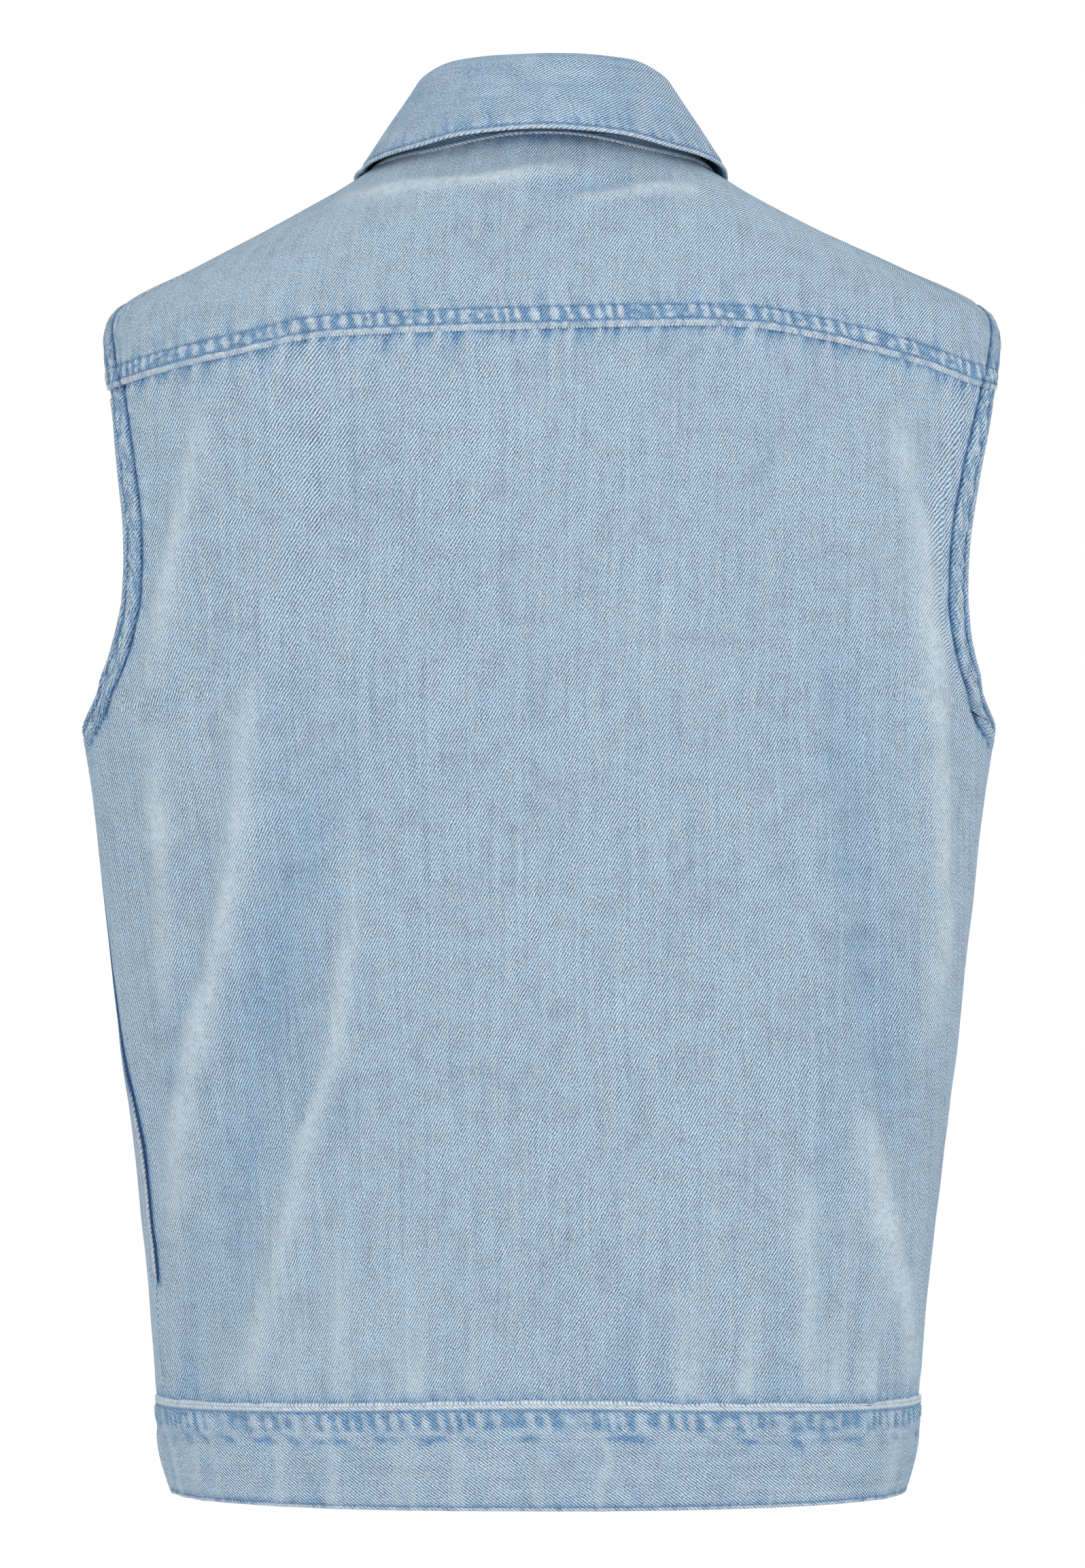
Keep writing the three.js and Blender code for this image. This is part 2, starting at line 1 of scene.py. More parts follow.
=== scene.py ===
# Light-washed denim vest, seen from behind and held up as if worn.
# The vest's own sizes below are in millimetres, and the meshes are in metres.
import math
import bmesh
import bpy
import numpy as np
from mathutils import Matrix, Vector


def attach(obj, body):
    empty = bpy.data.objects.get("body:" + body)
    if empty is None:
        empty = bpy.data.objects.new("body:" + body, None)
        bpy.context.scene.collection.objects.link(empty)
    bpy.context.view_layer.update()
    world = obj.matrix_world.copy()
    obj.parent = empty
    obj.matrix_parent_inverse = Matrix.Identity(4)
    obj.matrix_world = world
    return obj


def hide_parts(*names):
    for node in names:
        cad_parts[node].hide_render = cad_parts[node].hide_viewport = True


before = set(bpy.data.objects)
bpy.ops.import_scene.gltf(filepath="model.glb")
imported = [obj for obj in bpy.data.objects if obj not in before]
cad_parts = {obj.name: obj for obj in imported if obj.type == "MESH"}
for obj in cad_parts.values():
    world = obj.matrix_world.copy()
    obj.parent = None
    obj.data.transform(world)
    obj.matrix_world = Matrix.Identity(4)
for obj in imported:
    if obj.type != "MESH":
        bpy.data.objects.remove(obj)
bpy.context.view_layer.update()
mm = 0.001
scene = bpy.context.scene


# Camera: level with the middle of the vest, 4 m behind it
camera = {"away": 4.0, "x": 0.0006, "z": -0.2895, "seenHigh": 0.7442, "sensor": 36.0}


def addCamera():
    data = bpy.data.cameras.new("photoCamera")
    data.sensor_fit = "AUTO"
    data.sensor_width = camera["sensor"]
    data.lens = camera["sensor"] * camera["away"] / camera["seenHigh"]
    data.clip_end = 40
    holder = bpy.data.objects.new("photoCamera", data)
    holder.location = (camera["x"], camera["away"], camera["z"])
    holder.rotation_euler = (math.radians(90), 0, math.radians(180))
    scene.collection.objects.link(holder)
    scene.camera = holder


addCamera()
print("camera ready")


# The worn form: level rings from the hem to the neck, as in the CAD
rings = {
    "z": [-626, -600, -566, -500, -400, -300, -262, -227, -190, -150, -104, -80, -70, -62, -46, -20.5,
          -8, 7, 14, 24],
    "side": [172.5, 179, 181.4, 187.6, 199.6, 210.8, 216, 217.5, 218.5, 217.5, 214, 212.3, 209.3, 200.5,
             167.5, 116.2, 93.8, 72, 66, 60],
    "back": [124, 126, 128, 131, 133, 134, 134, 134, 133, 131, 125, 118, 115, 112, 104, 91.5,
             85, 75.5, 71, 66],
    "front": [118, 120, 122, 126, 128, 130, 130, 129, 128, 121, 108, 97, 92, 88, 80, 67.5, 62, 55, 53, 50],
    "square": [2.3, 2.3, 2.3, 2.3, 2.35, 2.35, 2.35, 2.35, 2.35, 2.3, 2.2, 2.1, 2.05, 2, 2, 2, 2, 2, 2, 2],
    "lean": [2.2, 2.6, 3, 2.3, 2.3, 2.3, 2.4, 0.8, -1, -2.4, -3.9, -3.9, -3.7, -3, -1.8, 1,
             1.5, 0.9, 0.6, 0.4],
}
seams = {  # heights along the seams, by degrees round from the centre back
    "yoke": [(-81, -104), (-74, -101.6), (-66, -94), (-58, -87.4), (-50, -81.8), (-42, -78), (-33, -76.9),
             (-22, -77.4), (0, -78.6), (20, -79.6), (45, -82), (60, -91), (75, -101), (81, -104)],
    "shoulderEdge": [(81, -104), (85, -86), (90, -71), (96, -77), (105, -108)],
    "neck": [(0, 14), (45, 12.5), (90, 7), (120, -12), (150, -42), (180, -60)],
    "armholeBack": [(-240, 207.2), (-227, 202.5), (-214, 199.5), (-202, 197.9), (-190, 197.7), (-175, 198.4),
                    (-150, 201.7), (-125, 205.8), (-104, 209)],  # height and half-width
    "armholeFront": [(-240, 202), (-222, 192), (-195, 186.5), (-160, 187), (-130, 190.5), (-108, 194)],
    "sideLeft": [(-570, 38), (-520, 40.5), (-461, 42), (-442, 38), (-423, 28.5), (-400, 21), (-360, 15),
                 (-337, 10), (-262, 6)],  # height and depth
    "sideRight": [(-570, -6), (-450, -4), (-337, -2), (-262, 0)],
}
levels = {"hem": -624, "waistSeam": -574.8, "bandTopDrop": 5, "armpit": -262, "yokeCorner": -104,
          "frontCorner": -108, "cornerDeg": 81, "frontSeamDeg": 105, "placketHalf": 18, "tuckedEdge": 12}
randomLong, randomWide = 4096, 256  # how many values a random line or field repeats after
# deep is dye kept in furrows together with painted shade, and dark is painted shadow
lookKeys = ("lift", "pale", "deep", "dark")

# Folds: the points (x, z) each runs through, its half-width and height, and how worn its top is
foldNames = ("face", "run", "path", "wide", "high", "pale")
folds = [dict(zip(foldNames, row)) for row in [
    ("back", "down", [(135, -238), (142, -326), (152, -375), (165, -440), (175, -505)], 8, 5.5, 0.95),
    ("back", "down", [(182, -262), (178, -320), (175, -400)], 7, 3, 0.85),
    ("back", "down", [(86, -322), (93, -401), (109, -453), (119, -500), (139, -572)], 7, 4, 0.75),
    ("back", "down", [(100, -262), (118, -345), (136, -440), (150, -545)], 13, -4.5, 0),
    ("back", "down", [(95, -505), (90, -577)], 6, 1.5, 0.55),
    ("back", "down", [(158, -112), (168, -170), (183, -246)], 7, 2.5, 0.7),
    ("back", "down", [(-163, -112), (-177, -203), (-184, -296), (-185, -349), (-180, -412)], 7, 4, 0.9),
    ("back", "down", [(-132, -212), (-146, -335), (-162, -465)], 10, -4.5, 0),
    ("back", "down", [(-148, -440), (-160, -505), (-173, -570)], 8, 4.5, 0.95),
    ("back", "down", [(-120, -470), (-124, -576)], 8, 2, 0.6),
    ("back", "down", [(-62, -520), (-66, -577)], 7, 1.2, 0.35),
    ("back", "across", [(-16, -3), (-11, -3.5), (24, -9), (63, -13), (98, -17)], 4, 3.2, 0.95),
    ("back", "across", [(-74, -13), (-57, -13), (-38, -15), (-14, -19)], 3.6, 2.4, 0.8),
    ("back", "across", [(-64, -20), (-30, -12), (10, -14)], 3.5, -2.2, 0),
    ("front", "down", [(156, -235), (137, -385), (128, -540)], 11, 5, 0.8),
    ("front", "down", [(104, -290), (97, -425), (84, -560)], 15, -4.5, 0),
    ("front", "down", [(62, -330), (58, -575)], 10, 2.5, 0.3),
    ("front", "down", [(-148, -225), (-153, -370), (-166, -520)], 10, 5, 0.8),
    ("front", "down", [(-96, -280), (-112, -560)], 14, -4, 0),
    ("front", "down", [(-66, -400), (-70, -575)], 9, 2.5, 0.3),
    ("front", "down", [(150, -120), (144, -185), (132, -250)], 9, 3, 0.6),
    ("front", "down", [(-152, -125), (-147, -188), (-136, -250)], 9, 3, 0.6),
]]


def smoothCurve(xs, ys):  # through every point, with no overshoot
    xs, ys = np.array(xs, float), np.array(ys, float)
    slopes = np.diff(ys) / np.diff(xs)
    tangents = np.concatenate([slopes[:1], np.zeros(len(xs) - 2), slopes[-1:]])
    before, after = slopes[:-1], slopes[1:]
    same = before * after > 0
    tangents[1:-1][same] = 2 * before[same] * after[same] / (before[same] + after[same])

    def at(x):
        x = np.clip(x, xs[0], xs[-1])
        i = np.clip(np.searchsorted(xs, x, side="right") - 1, 0, len(slopes) - 1)
        span = xs[i + 1] - xs[i]
        t = (x - xs[i]) / span
        rise = (1 + 2 * t) * (1 - t) ** 2 * ys[i] + t * t * (3 - 2 * t) * ys[i + 1]
        return rise + span * (t * (1 - t) ** 2 * tangents[i] + t * t * (t - 1) * tangents[i + 1])

    return at


ringAt = {name: smoothCurve(rings["z"], rings[name]) for name in rings if name != "z"}
seamAt = {name: smoothCurve(*zip(*sorted(rows))) for name, rows in seams.items()}


def smooth(x, low, high):
    t = np.clip((x - low) / (high - low), 0, 1)
    return t * t * (3 - 2 * t)


def bump(x, wide):
    return np.exp(-(x / wide) ** 2)


def formRadius(angle, z):
    depth = np.where(np.cos(angle) > 0, ringAt["back"](z), ringAt["front"](z))
    square = ringAt["square"](z)
    across = (np.abs(np.sin(angle)) / ringAt["side"](z)) ** square
    along = (np.abs(np.cos(angle)) / depth) ** square
    return (across + along) ** (-1 / square)


def plainForm(angle, z):
    out = formRadius(angle, z)
    return np.stack([out * np.sin(angle) + ringAt["lean"](z), out * np.cos(angle), z + 0 * out], axis=-1)


def unit(v):
    return v / np.maximum(np.linalg.norm(v, axis=-1, keepdims=True), 1e-12)


def formNormal(angle, z):
    alongAngle = plainForm(angle + 0.01, z) - plainForm(angle - 0.01, z)
    alongHeight = plainForm(angle, z + 1) - plainForm(angle, z - 1)
    return unit(np.cross(alongHeight, alongAngle))


# Height of the folds there, and how worn their tops are; below 0, the painted shade in their troughs
def foldsAt(points):
    x, y, z = points[..., 0], points[..., 1], points[..., 2]
    high, wearAndShade = np.zeros(x.shape), np.zeros(x.shape)
    for number, fold in enumerate(folds):
        facing = smooth(y if fold["face"] == "back" else -y, 0, 25)
        down = fold["run"] == "down"
        run = sorted((p[1], p[0]) if down else p for p in fold["path"])
        place, aside = (z, x) if down else (x, z)
        first, last = run[0][0], run[-1][0]
        t = np.clip((place - first) / (last - first), 0, 1)
        taper = 4 * t * (1 - t)
        wide = fold["wide"]
        stray = 0.16 * wide * wobble(place, 21, 5 + number) + 0.06 * wide * wobble(place, 6, 35 + number)
        aside = aside - smoothCurve(*zip(*run))(place) + stray
        high += facing * fold["high"] * taper ** 0.6 * bump(aside, wide)
        streak = (0.75 + 0.2 * wobble(place, 13, 65 + number)) * wide
        uneven = 0.9 + 0.3 * wobble(place, 17, 95 + number)
        wearAndShade += facing * fold["pale"] * taper ** 0.4 * bump(aside, streak) * uneven
        if fold["high"] < 0:
            uneven = 1 + 0.4 * wobble(place, 11, 125 + number)
            # painted shade in the fold troughs, kept as negative values
            wearAndShade -= 0.24 * facing * taper ** 0.6 * bump(aside, 1.2 * wide) * uneven
    return high, wearAndShade


def angleAtHalfWidth(x, z, face):
    square = ringAt["square"](z)
    share = np.minimum(1, x / ringAt["side"](z))
    depth = ringAt["back"](z) if face == "back" else -ringAt["front"](z)
    return np.arctan2(x, depth * (1 - share ** square) ** (1 / square))


def angleAtDepth(y, z):
    square = ringAt["square"](z)
    share = np.abs(y) / np.where(y > 0, ringAt["back"](z), ringAt["front"](z))
    return np.arctan2(ringAt["side"](z) * (1 - share ** square) ** (1 / square), y)


def onFront(x, z):  # the angle of a place across the centre front
    angle = angleAtHalfWidth(np.abs(x), z, "front")
    return np.where(x < 0, 2 * math.pi - angle, angle)


def sideSeamAngle(side, z):
    return angleAtDepth(seamAt["side" + side](z), z)


def armholeAngle(side, z, face):
    name = "armholeBack" if face == "back" else "armholeFront"
    low = seams[name][0][0]
    held = np.maximum(z, low)
    edge = angleAtHalfWidth(seamAt[name](held), held, face)
    down = np.clip((low - z) / (low - levels["armpit"]), 0, 1)
    round_ = 1 - np.sqrt(1 - down * down)
    share = 0.5 * (down * down + round_)
    return edge + (sideSeamAngle(side, levels["armpit"]) - edge) * share


def bandTopAt(angle):
    return levels["waistSeam"] - levels["bandTopDrop"] * np.sin(angle) ** 2


def wobble(x, pitch, seed):  # a smooth random line between -1 and 1
    values = np.random.RandomState(seed).uniform(-1, 1, randomLong)
    i = np.floor(x / pitch).astype(int)
    t = x / pitch - i
    t = t * t * (3 - 2 * t)
    return values[i % randomLong] * (1 - t) + values[(i + 1) % randomLong] * t


def cloudy(u, v, size, seed):  # a smooth random field between -1 and 1
    values = np.random.RandomState(seed).uniform(-1, 1, (randomWide, randomWide))
    i, j = np.floor(u / size).astype(int), np.floor(v / size).astype(int)
    s, t = u / size - i, v / size - j
    s, t = s * s * (3 - 2 * s), t * t * (3 - 2 * t)
    i, nextI, j, nextJ = i % randomWide, (i + 1) % randomWide, j % randomWide, (j + 1) % randomWide
    low = values[i, j] * (1 - s) + values[nextI, j] * s
    high = values[i, nextJ] * (1 - s) + values[nextI, nextJ] * s
    return low * (1 - t) + high * t


def pucker(along, period, seed):  # uneven ripples along a seam
    phase = along / period + 0.6 * wobble(along, 2.4 * period, seed)
    return np.sin(2 * math.pi * phase) * (0.62 + 0.38 * wobble(along, 1.7 * period, seed + 1))


# Lines on the form that seams and edges follow
def runningSum(steps, axis):  # from 0
    return np.concatenate([np.zeros_like(np.take(steps, [0], axis)), np.cumsum(steps, axis)], axis)


def lineThrough(points):
    steps = np.linalg.norm(np.diff(points, axis=0), axis=1)
    return {"points": points, "along": runningSum(steps, 0)}


def lineOf(angles, heights):
    return lineThrough(plainForm(np.asarray(angles, float), np.asarray(heights, float)))


def armholeLine(side, sign):
    up = np.linspace(0, 1, 160)
    backZ = levels["armpit"] + (levels["yokeCorner"] - levels["armpit"]) * up ** 1.6
    frontZ = levels["armpit"] + (levels["frontCorner"] - levels["armpit"]) * up ** 1.6
    corner = armholeAngle(side, levels["yokeCorner"], "back")
    low, high = levels["cornerDeg"], levels["frontSeamDeg"]
    overDeg = np.linspace(low, high, 120)
    over = corner + (np.radians(high) - corner) * (overDeg - low) / (high - low)
    down = armholeAngle(side, frontZ, "front")[::-1]
    angles = np.concatenate([armholeAngle(side, backZ, "back"), over[1:], down[1:]])
    heights = np.concatenate([backZ, seamAt["shoulderEdge"](overDeg)[1:], frontZ[::-1][1:]])
    return lineOf(sign * angles, heights)


def cornerDeg():
    return math.degrees(float(armholeAngle("Left", np.array(float(levels["yokeCorner"])), "back")))


def yokeLow(deg):  # the yoke's lower edge, round to its front seams
    turned, corner = np.abs(deg), cornerDeg()
    low, high = levels["cornerDeg"], levels["frontSeamDeg"]
    past = np.clip((turned - corner) / (high - corner), 0, 1)
    behind = seamAt["yoke"](deg * low / corner)
    return np.where(turned <= corner, behind, seamAt["shoulderEdge"](low + (high - low) * past))


degs = np.linspace(-180, 180, 1441)
backDegs = np.linspace(-cornerDeg(), cornerDeg(), 500)
sideZs = np.linspace(levels["waistSeam"], levels["armpit"], 300)
frontSeamZs = np.linspace(levels["frontCorner"], float(seamAt["neck"](levels["frontSeamDeg"])), 120)
lines = {
    "yokeSeam": lineOf(np.radians(backDegs), yokeLow(backDegs)),
    "waistSeam": lineOf(np.radians(degs), bandTopAt(np.radians(degs))),
    "hem": lineOf(np.radians(degs), np.full(len(degs), float(levels["hem"]))),
    "neckSeam": lineOf(np.radians(degs), seamAt["neck"](np.abs(degs))),
    "armholeLeft": armholeLine("Left", 1),
    "armholeRight": armholeLine("Right", -1),
    "sideLeft": lineOf(sideSeamAngle("Left", sideZs), sideZs),
    "sideRight": lineOf(-sideSeamAngle("Right", sideZs), sideZs),
    "frontSeamLeft": lineOf(np.full(120, np.radians(levels["frontSeamDeg"])), frontSeamZs),
    "frontSeamRight": lineOf(np.full(120, -np.radians(levels["frontSeamDeg"])), frontSeamZs),
}


def fromLine(points, line):  # distance to a line, and how far along it
    flat = points.reshape(-1, 3)
    away, along = np.empty(len(flat)), np.empty(len(flat))
    target = line["points"]
    square = (target ** 2).sum(axis=1)
    for k in range(0, len(flat), 8000):
        part = flat[k:k + 8000]
        gaps = (part ** 2).sum(axis=1)[:, None] + square[None, :] - 2 * part @ target.T
        nearest = gaps.argmin(axis=1)
        a = np.clip(nearest, 1, len(target) - 2)
        ahead = target[a + 1] - target[a - 1]
        t = ((part - target[a - 1]) * ahead).sum(axis=1) / (ahead ** 2).sum(axis=1)
        inside = np.clip(t, 0, 1)
        foot = target[a - 1] + ahead * inside[:, None]
        direct = np.sqrt(np.maximum(gaps.min(axis=1), 0))
        away[k:k + 8000] = np.minimum(np.linalg.norm(part - foot, axis=1), direct)
        along[k:k + 8000] = line["along"][a - 1] + inside * (line["along"][a + 1] - line["along"][a - 1])
    return away.reshape(points.shape[:-1]), along.reshape(points.shape[:-1])


# What a seam or an edge does to the cloth beside it
def newLook(points):
    return {key: np.zeros(points.shape[:-1]) for key in lookKeys}


def addLook(look, other, share):
    for key in lookKeys:
        look[key] += other[key] * share


def rollEdge(look, away, radius, pale=0.8):  # a folded edge, worn pale
    near = np.clip(away, 0, radius)
    look["lift"] -= radius - np.sqrt(np.maximum(radius ** 2 - (radius - near) ** 2, 0))
    look["pale"] += pale * bump(away - 0.7, 0.95)


def sewRow(look, away, at, depth=0.4, wide=0.9):  # the furrow that a row of stitches pulls, with painted shade in it
    look["lift"] -= depth * bump(away - at, wide)
    look["deep"] += 0.9 * bump(away - at, wide)
    look["dark"] += 0.3 * bump(away - at, 0.7 * wide)


def ropeBetween(look, away, along, low, high, period, seed, strength=1.0, slant=-0.15):
    window = smooth(away, low - 0.4, low + 1) * (1 - smooth(away, high - 1, high + 0.4))
    ripple = pucker(along + slant * away, period, seed)
    ripple = ripple + 0.6 * cloudy(along + 200, away, 0.3 * period, seed + 3)
    hard = np.clip(2.6 * ripple - 0.3, -1, 1)
    look["lift"] += strength * 0.6 * ripple * window
    look["pale"] += strength * 0.75 * np.maximum(hard, 0) * window
    look["deep"] += strength * (0.35 + 0.85 * np.maximum(-hard, 0) - 0.3 * np.maximum(hard, 0)) * window


def ropeBeyond(look, away, along, start, reach, period, seed, strength=1.0, slant=-0.2):
    window = smooth(away, start - 0.5, start + 1.2)
    past = np.maximum(away - start, 0)
    ripple = pucker(along + slant * away, period, seed)
    wide = pucker(along + 1.6 * slant * away, 2.3 * period, seed + 5)
    wide = wide + 0.5 * cloudy(along + 300, away, 5, seed + 7)
    mixed = ripple * np.exp(-past / (0.6 * reach)) + 0.7 * wide * np.exp(-past / reach)
    look["lift"] += strength * 0.5 * mixed * window
    look["pale"] += strength * 0.55 * np.maximum(mixed, 0) * window
    look["deep"] += strength * 0.8 * np.maximum(-mixed, 0) * window


sewing = {"edgeRow": 2.5, "rowGap": 7.0, "armholeRows": (4.6, 14.4), "hemRow": 2.0, "collarRow": 2.6,
          "stitchPitch": 3.0, "stitchLong": 2.3, "thread": 0.5, "ropePeriod": 6.6, "armholePeriod": 5.4,
          "reach": 1.6}
yokeRows = (sewing["edgeRow"], sewing["edgeRow"] + sewing["rowGap"])


def edgeOnTop(look, points, lineName, rows, seed, strength=1.0):  # the edge that lies on top at a seam
    away, along = fromLine(points, lines[lineName])
    period = sewing["ropePeriod"]
    rollEdge(look, away, 1.1)
    ticks = np.maximum(cloudy(along, 0.6 * away, 2.4, seed + 20) + 0.1, 0) * bump(away - 0.9, 1.1)
    look["pale"] -= 0.75 * ticks
    look["deep"] += 0.55 * ticks
    for row in rows:
        sewRow(look, away, row)
    if len(rows) > 1:
        ropeBetween(look, away, along, rows[0], rows[1], period, seed, strength)
        ropeBetween(look, away, along, 0, rows[0], 0.4 * period, seed + 9, 0.35 * strength)
    ropeBeyond(look, away, along, rows[-1], 6, period, seed, strength)


# A folded edge with a deep inner row and twisted ropes between
def armholeEdge(look, points, side, share=1.0):
    away, along = fromLine(points, lines["armhole" + side])
    outer, inner = sewing["armholeRows"]
    rollEdge(look, away, 1.3, 0.25)
    sewRow(look, away, outer, 0.5, 0.9)
    sewRow(look, away, inner, 0.9, 1.3)
    broken = 0.7 + 0.3 * wobble(along, 3.1, 68)
    # painted shade along the two stitch rows, and beside the inner one
    look["dark"] += (0.75 * bump(away - inner, 1.4) + 0.45 * bump(away - outer, 0.9)) * broken
    look["deep"] += 0.35 * bump(away - inner + 0.8, 2.6) + 0.2 * bump(away - outer, 1.8)
    window = smooth(away, 1.2, 2.4) * (1 - smooth(away, inner - 1.8, inner - 0.2))
    drawn = along + 1.1 * away
    twist = 0.7 * pucker(drawn, sewing["armholePeriod"], 61) + 0.9 * cloudy(drawn + 400, 1.7 * away, 3.4, 63)
    twist = np.clip(1.8 * twist - 0.05, -1, 1)
    look["lift"] += share * (0.5 * twist + 0.4) * window
    look["pale"] += share * 0.55 * np.maximum(twist, 0) * window
    look["deep"] += share * (0.2 + 0.45 * np.maximum(-twist, 0) - 0.2 * np.maximum(twist, 0)) * window
    ropeBeyond(look, away, along, inner + 1.2, 4, 7, 67, 0.8 * share, 0.5)


def clothUnder(look, points, lineName, seed=3, strength=1.0, tucked=None):  # below a lapped seam, with painted shadow under its edge
    away, along = fromLine(points, lines[lineName])
    # painted shadow under the lapped edge
    look["deep"] += 1.1 * bump(away, 2.2) + 0.3 * bump(away, 6)
    look["dark"] += 0.6 * bump(away, 1.0)
    look["lift"] -= 0.5 * bump(away, 4)
    ropeBeyond(look, away, along, 0, 7, sewing["ropePeriod"], seed, 1.7 * strength)
    if tucked is not None:
        # the tucked cloth sinks, and gets painted shade
        look["lift"] -= 2.3 * smooth(tucked, -0.4, 1.6)
        look["deep"] += smooth(tucked, 0, 1)
    return away, along


# Cloth pieces
def stops(*parts):  # (from, to, count) stretches joined into one rising list
    found = [np.linspace(low, high, count + 1) for low, high, count in parts]
    return np.concatenate([found[0]] + [part[1:] for part in found[1:]])


def gridNormals(points, outward):
    across = np.gradient(points, axis=1)
    up = np.gradient(points, axis=0)
    normals = unit(np.cross(across, up))
    if (normals * outward).sum() < 0:
        return -normals, True
    return normals, False


def fromMiddle(across):
    return across - across[:, across.shape[1] // 2][:, None]


def clothLengths(points, evenRow=None):  # how far across and up each point is, along the cloth
    steps = np.diff(points, axis=1)
    across = fromMiddle(runningSum(np.linalg.norm(steps, axis=2), 1))
    level = unit(np.gradient(points, axis=1))
    rises = np.diff(points, axis=0)
    mid = 0.5 * (level[1:] + level[:-1])
    sideways = (rises * mid).sum(axis=2)
    up = runningSum(np.sqrt(np.maximum((rises ** 2).sum(axis=2) - sideways ** 2, 0)), 0)
    if evenRow is not None:  # a fanned piece: its grain stays square to this row
        slid = runningSum(sideways, 0)
        across = across[evenRow][None, :] + slid - slid[evenRow][None, :]
    return across, up


def meshFrom(name, bm):
    mesh = bpy.data.meshes.new(name)
    bm.to_mesh(mesh)
    bm.free()
    return mesh


def addPiece(mesh, material):
    mesh.polygons.foreach_set("use_smooth", np.ones(len(mesh.polygons), dtype=bool))
    mesh.materials.append(material)
    piece = bpy.data.objects.new(mesh.name, mesh)
    scene.collection.objects.link(piece)
    return piece


def makeCloth(name, points, look, thick, material, outward, outerFace=0.0, grain=(0.0, 0.0), askew=0.0,
              lengths=None):
    normals, turned = gridNormals(points, outward)
    across, up = lengths or clothLengths(points)
    folded = look.get("fold", np.zeros(points.shape[:-1]))
    # fold troughs (negative values) become painted shade
    look["deep"] += np.maximum(-folded, 0)
    drawn = across - askew * (up - 0.45 * up.max())
    look["lift"] += 0.35 * cloudy(across + 300, up, 34, 11) + 0.2 * cloudy(across, up + 90, 15, 12)
    placed = points + normals * (outerFace + look["lift"])[..., None]
    rows, columns = points.shape[:2]
    bm = bmesh.new()
    bmesh.ops.create_grid(bm, x_segments=columns - 1, y_segments=rows - 1, size=0.5)
    if turned:
        bmesh.ops.reverse_faces(bm, faces=bm.faces)
    mesh = meshFrom(name, bm)
    flat = np.empty(len(mesh.vertices) * 3)
    mesh.vertices.foreach_get("co", flat)
    flat = flat.reshape(-1, 3)
    i = np.rint((flat[:, 0] + 0.5) * (columns - 1)).astype(int)
    j = np.rint((flat[:, 1] + 0.5) * (rows - 1)).astype(int)
    mesh.vertices.foreach_set("co", (placed[j, i] * mm).ravel())
    corners = np.empty(len(mesh.loops), dtype=np.int32)
    mesh.loops.foreach_get("vertex_index", corners)
    cloth = mesh.uv_layers.new(name="cloth")
    uv = np.stack([grain[0] - drawn[j, i], up[j, i] + grain[1]], axis=1) * mm  # as seen from outside
    cloth.data.foreach_set("uv", uv[corners].ravel())
    wearAndShade = mesh.color_attributes.new("wearAndShade", "FLOAT_COLOR", "POINT")
    paint = np.zeros((len(mesh.vertices), 4))
    paint[:, 0] = np.clip(look["pale"][j, i], 0, 1)
    dark = np.clip(look["dark"][j, i], 0, 1)
    # the shader splits this channel at 0.6 into deep (dye kept, with painted shade) and dark (painted shadow)
    paint[:, 1] = 0.6 * np.clip(np.maximum(look["deep"][j, i], 1.6 * dark), 0, 1) + 0.4 * dark
    paint[:, 2] = np.clip(folded[j, i], 0, 1)
    paint[:, 3] = 1
    wearAndShade.data.foreach_set("color", paint.ravel())
    piece = addPiece(mesh, material)
    mesh.update()
    wall = piece.modifiers.new("wall", "SOLIDIFY")
    wall.thickness = thick * mm
    wall.offset = -1
    wall.use_even_offset = False
    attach(piece, "root")
    return piece, {"points": points, "placed": placed, "normals": normals}


def onForm(angle, z):
    plain = plainForm(angle, z)
    high, wearAndShade = foldsAt(plain)
    return plain + formNormal(angle, z) * high[..., None], wearAndShade


def panelGrid(columns, rows, startAt, endAt, lowAt, highAt):
    # Columns and rows are shares, 0 to 1. Each row ends on the side borders, and each column on the seams.
    def borderOf(angleAt, share):
        z = lowAt(angleAt(np.array(float(levels["waistSeam"]))))
        top = angleAt(np.array(1e3))
        return angleAt(z + (highAt(top) - z) * share)

    s, t = np.meshgrid(columns, rows)
    inside = np.clip(t, 0, 1)
    zero, one = np.zeros(s.shape), np.ones(s.shape)
    start, end = [borderOf(angleAt, inside) for angleAt in (startAt, endAt)]
    start0, end0 = [borderOf(angleAt, zero) for angleAt in (startAt, endAt)]
    start1, end1 = [borderOf(angleAt, one) for angleAt in (startAt, endAt)]
    plain = start0 + (end0 - start0) * s
    nearStart, nearEnd = (1 - s) ** 3, s ** 3
    angle = plain + (start - start0) * nearStart + (end - end0) * nearEnd
    low = lowAt(plain)
    high = highAt(plain + (start1 - start0) * nearStart + (end1 - end0) * nearEnd)
    return angle, low + (high - low) * inside, t


def rowsFor(lowZ, highZ, fine, coarse, closeTo):  # shares, closer together near the heights in closeTo
    z, found = float(lowZ), [float(lowZ)]
    while z < highZ:
        nearest = min(abs(z - other) for other in closeTo)
        z += min(coarse, fine + 0.16 * nearest)
        found.append(z)
    found = np.array(found)
    return (found - found[0]) / (found[-1] - found[0])


# Denim, thread and metal
def srgb(r, g, b):
    parts = [c / 255 / 12.92 if c <= 10 else ((c / 255 + 0.055) / 1.055) ** 2.4 for c in (r, g, b)]
    return (*parts, 1.0)


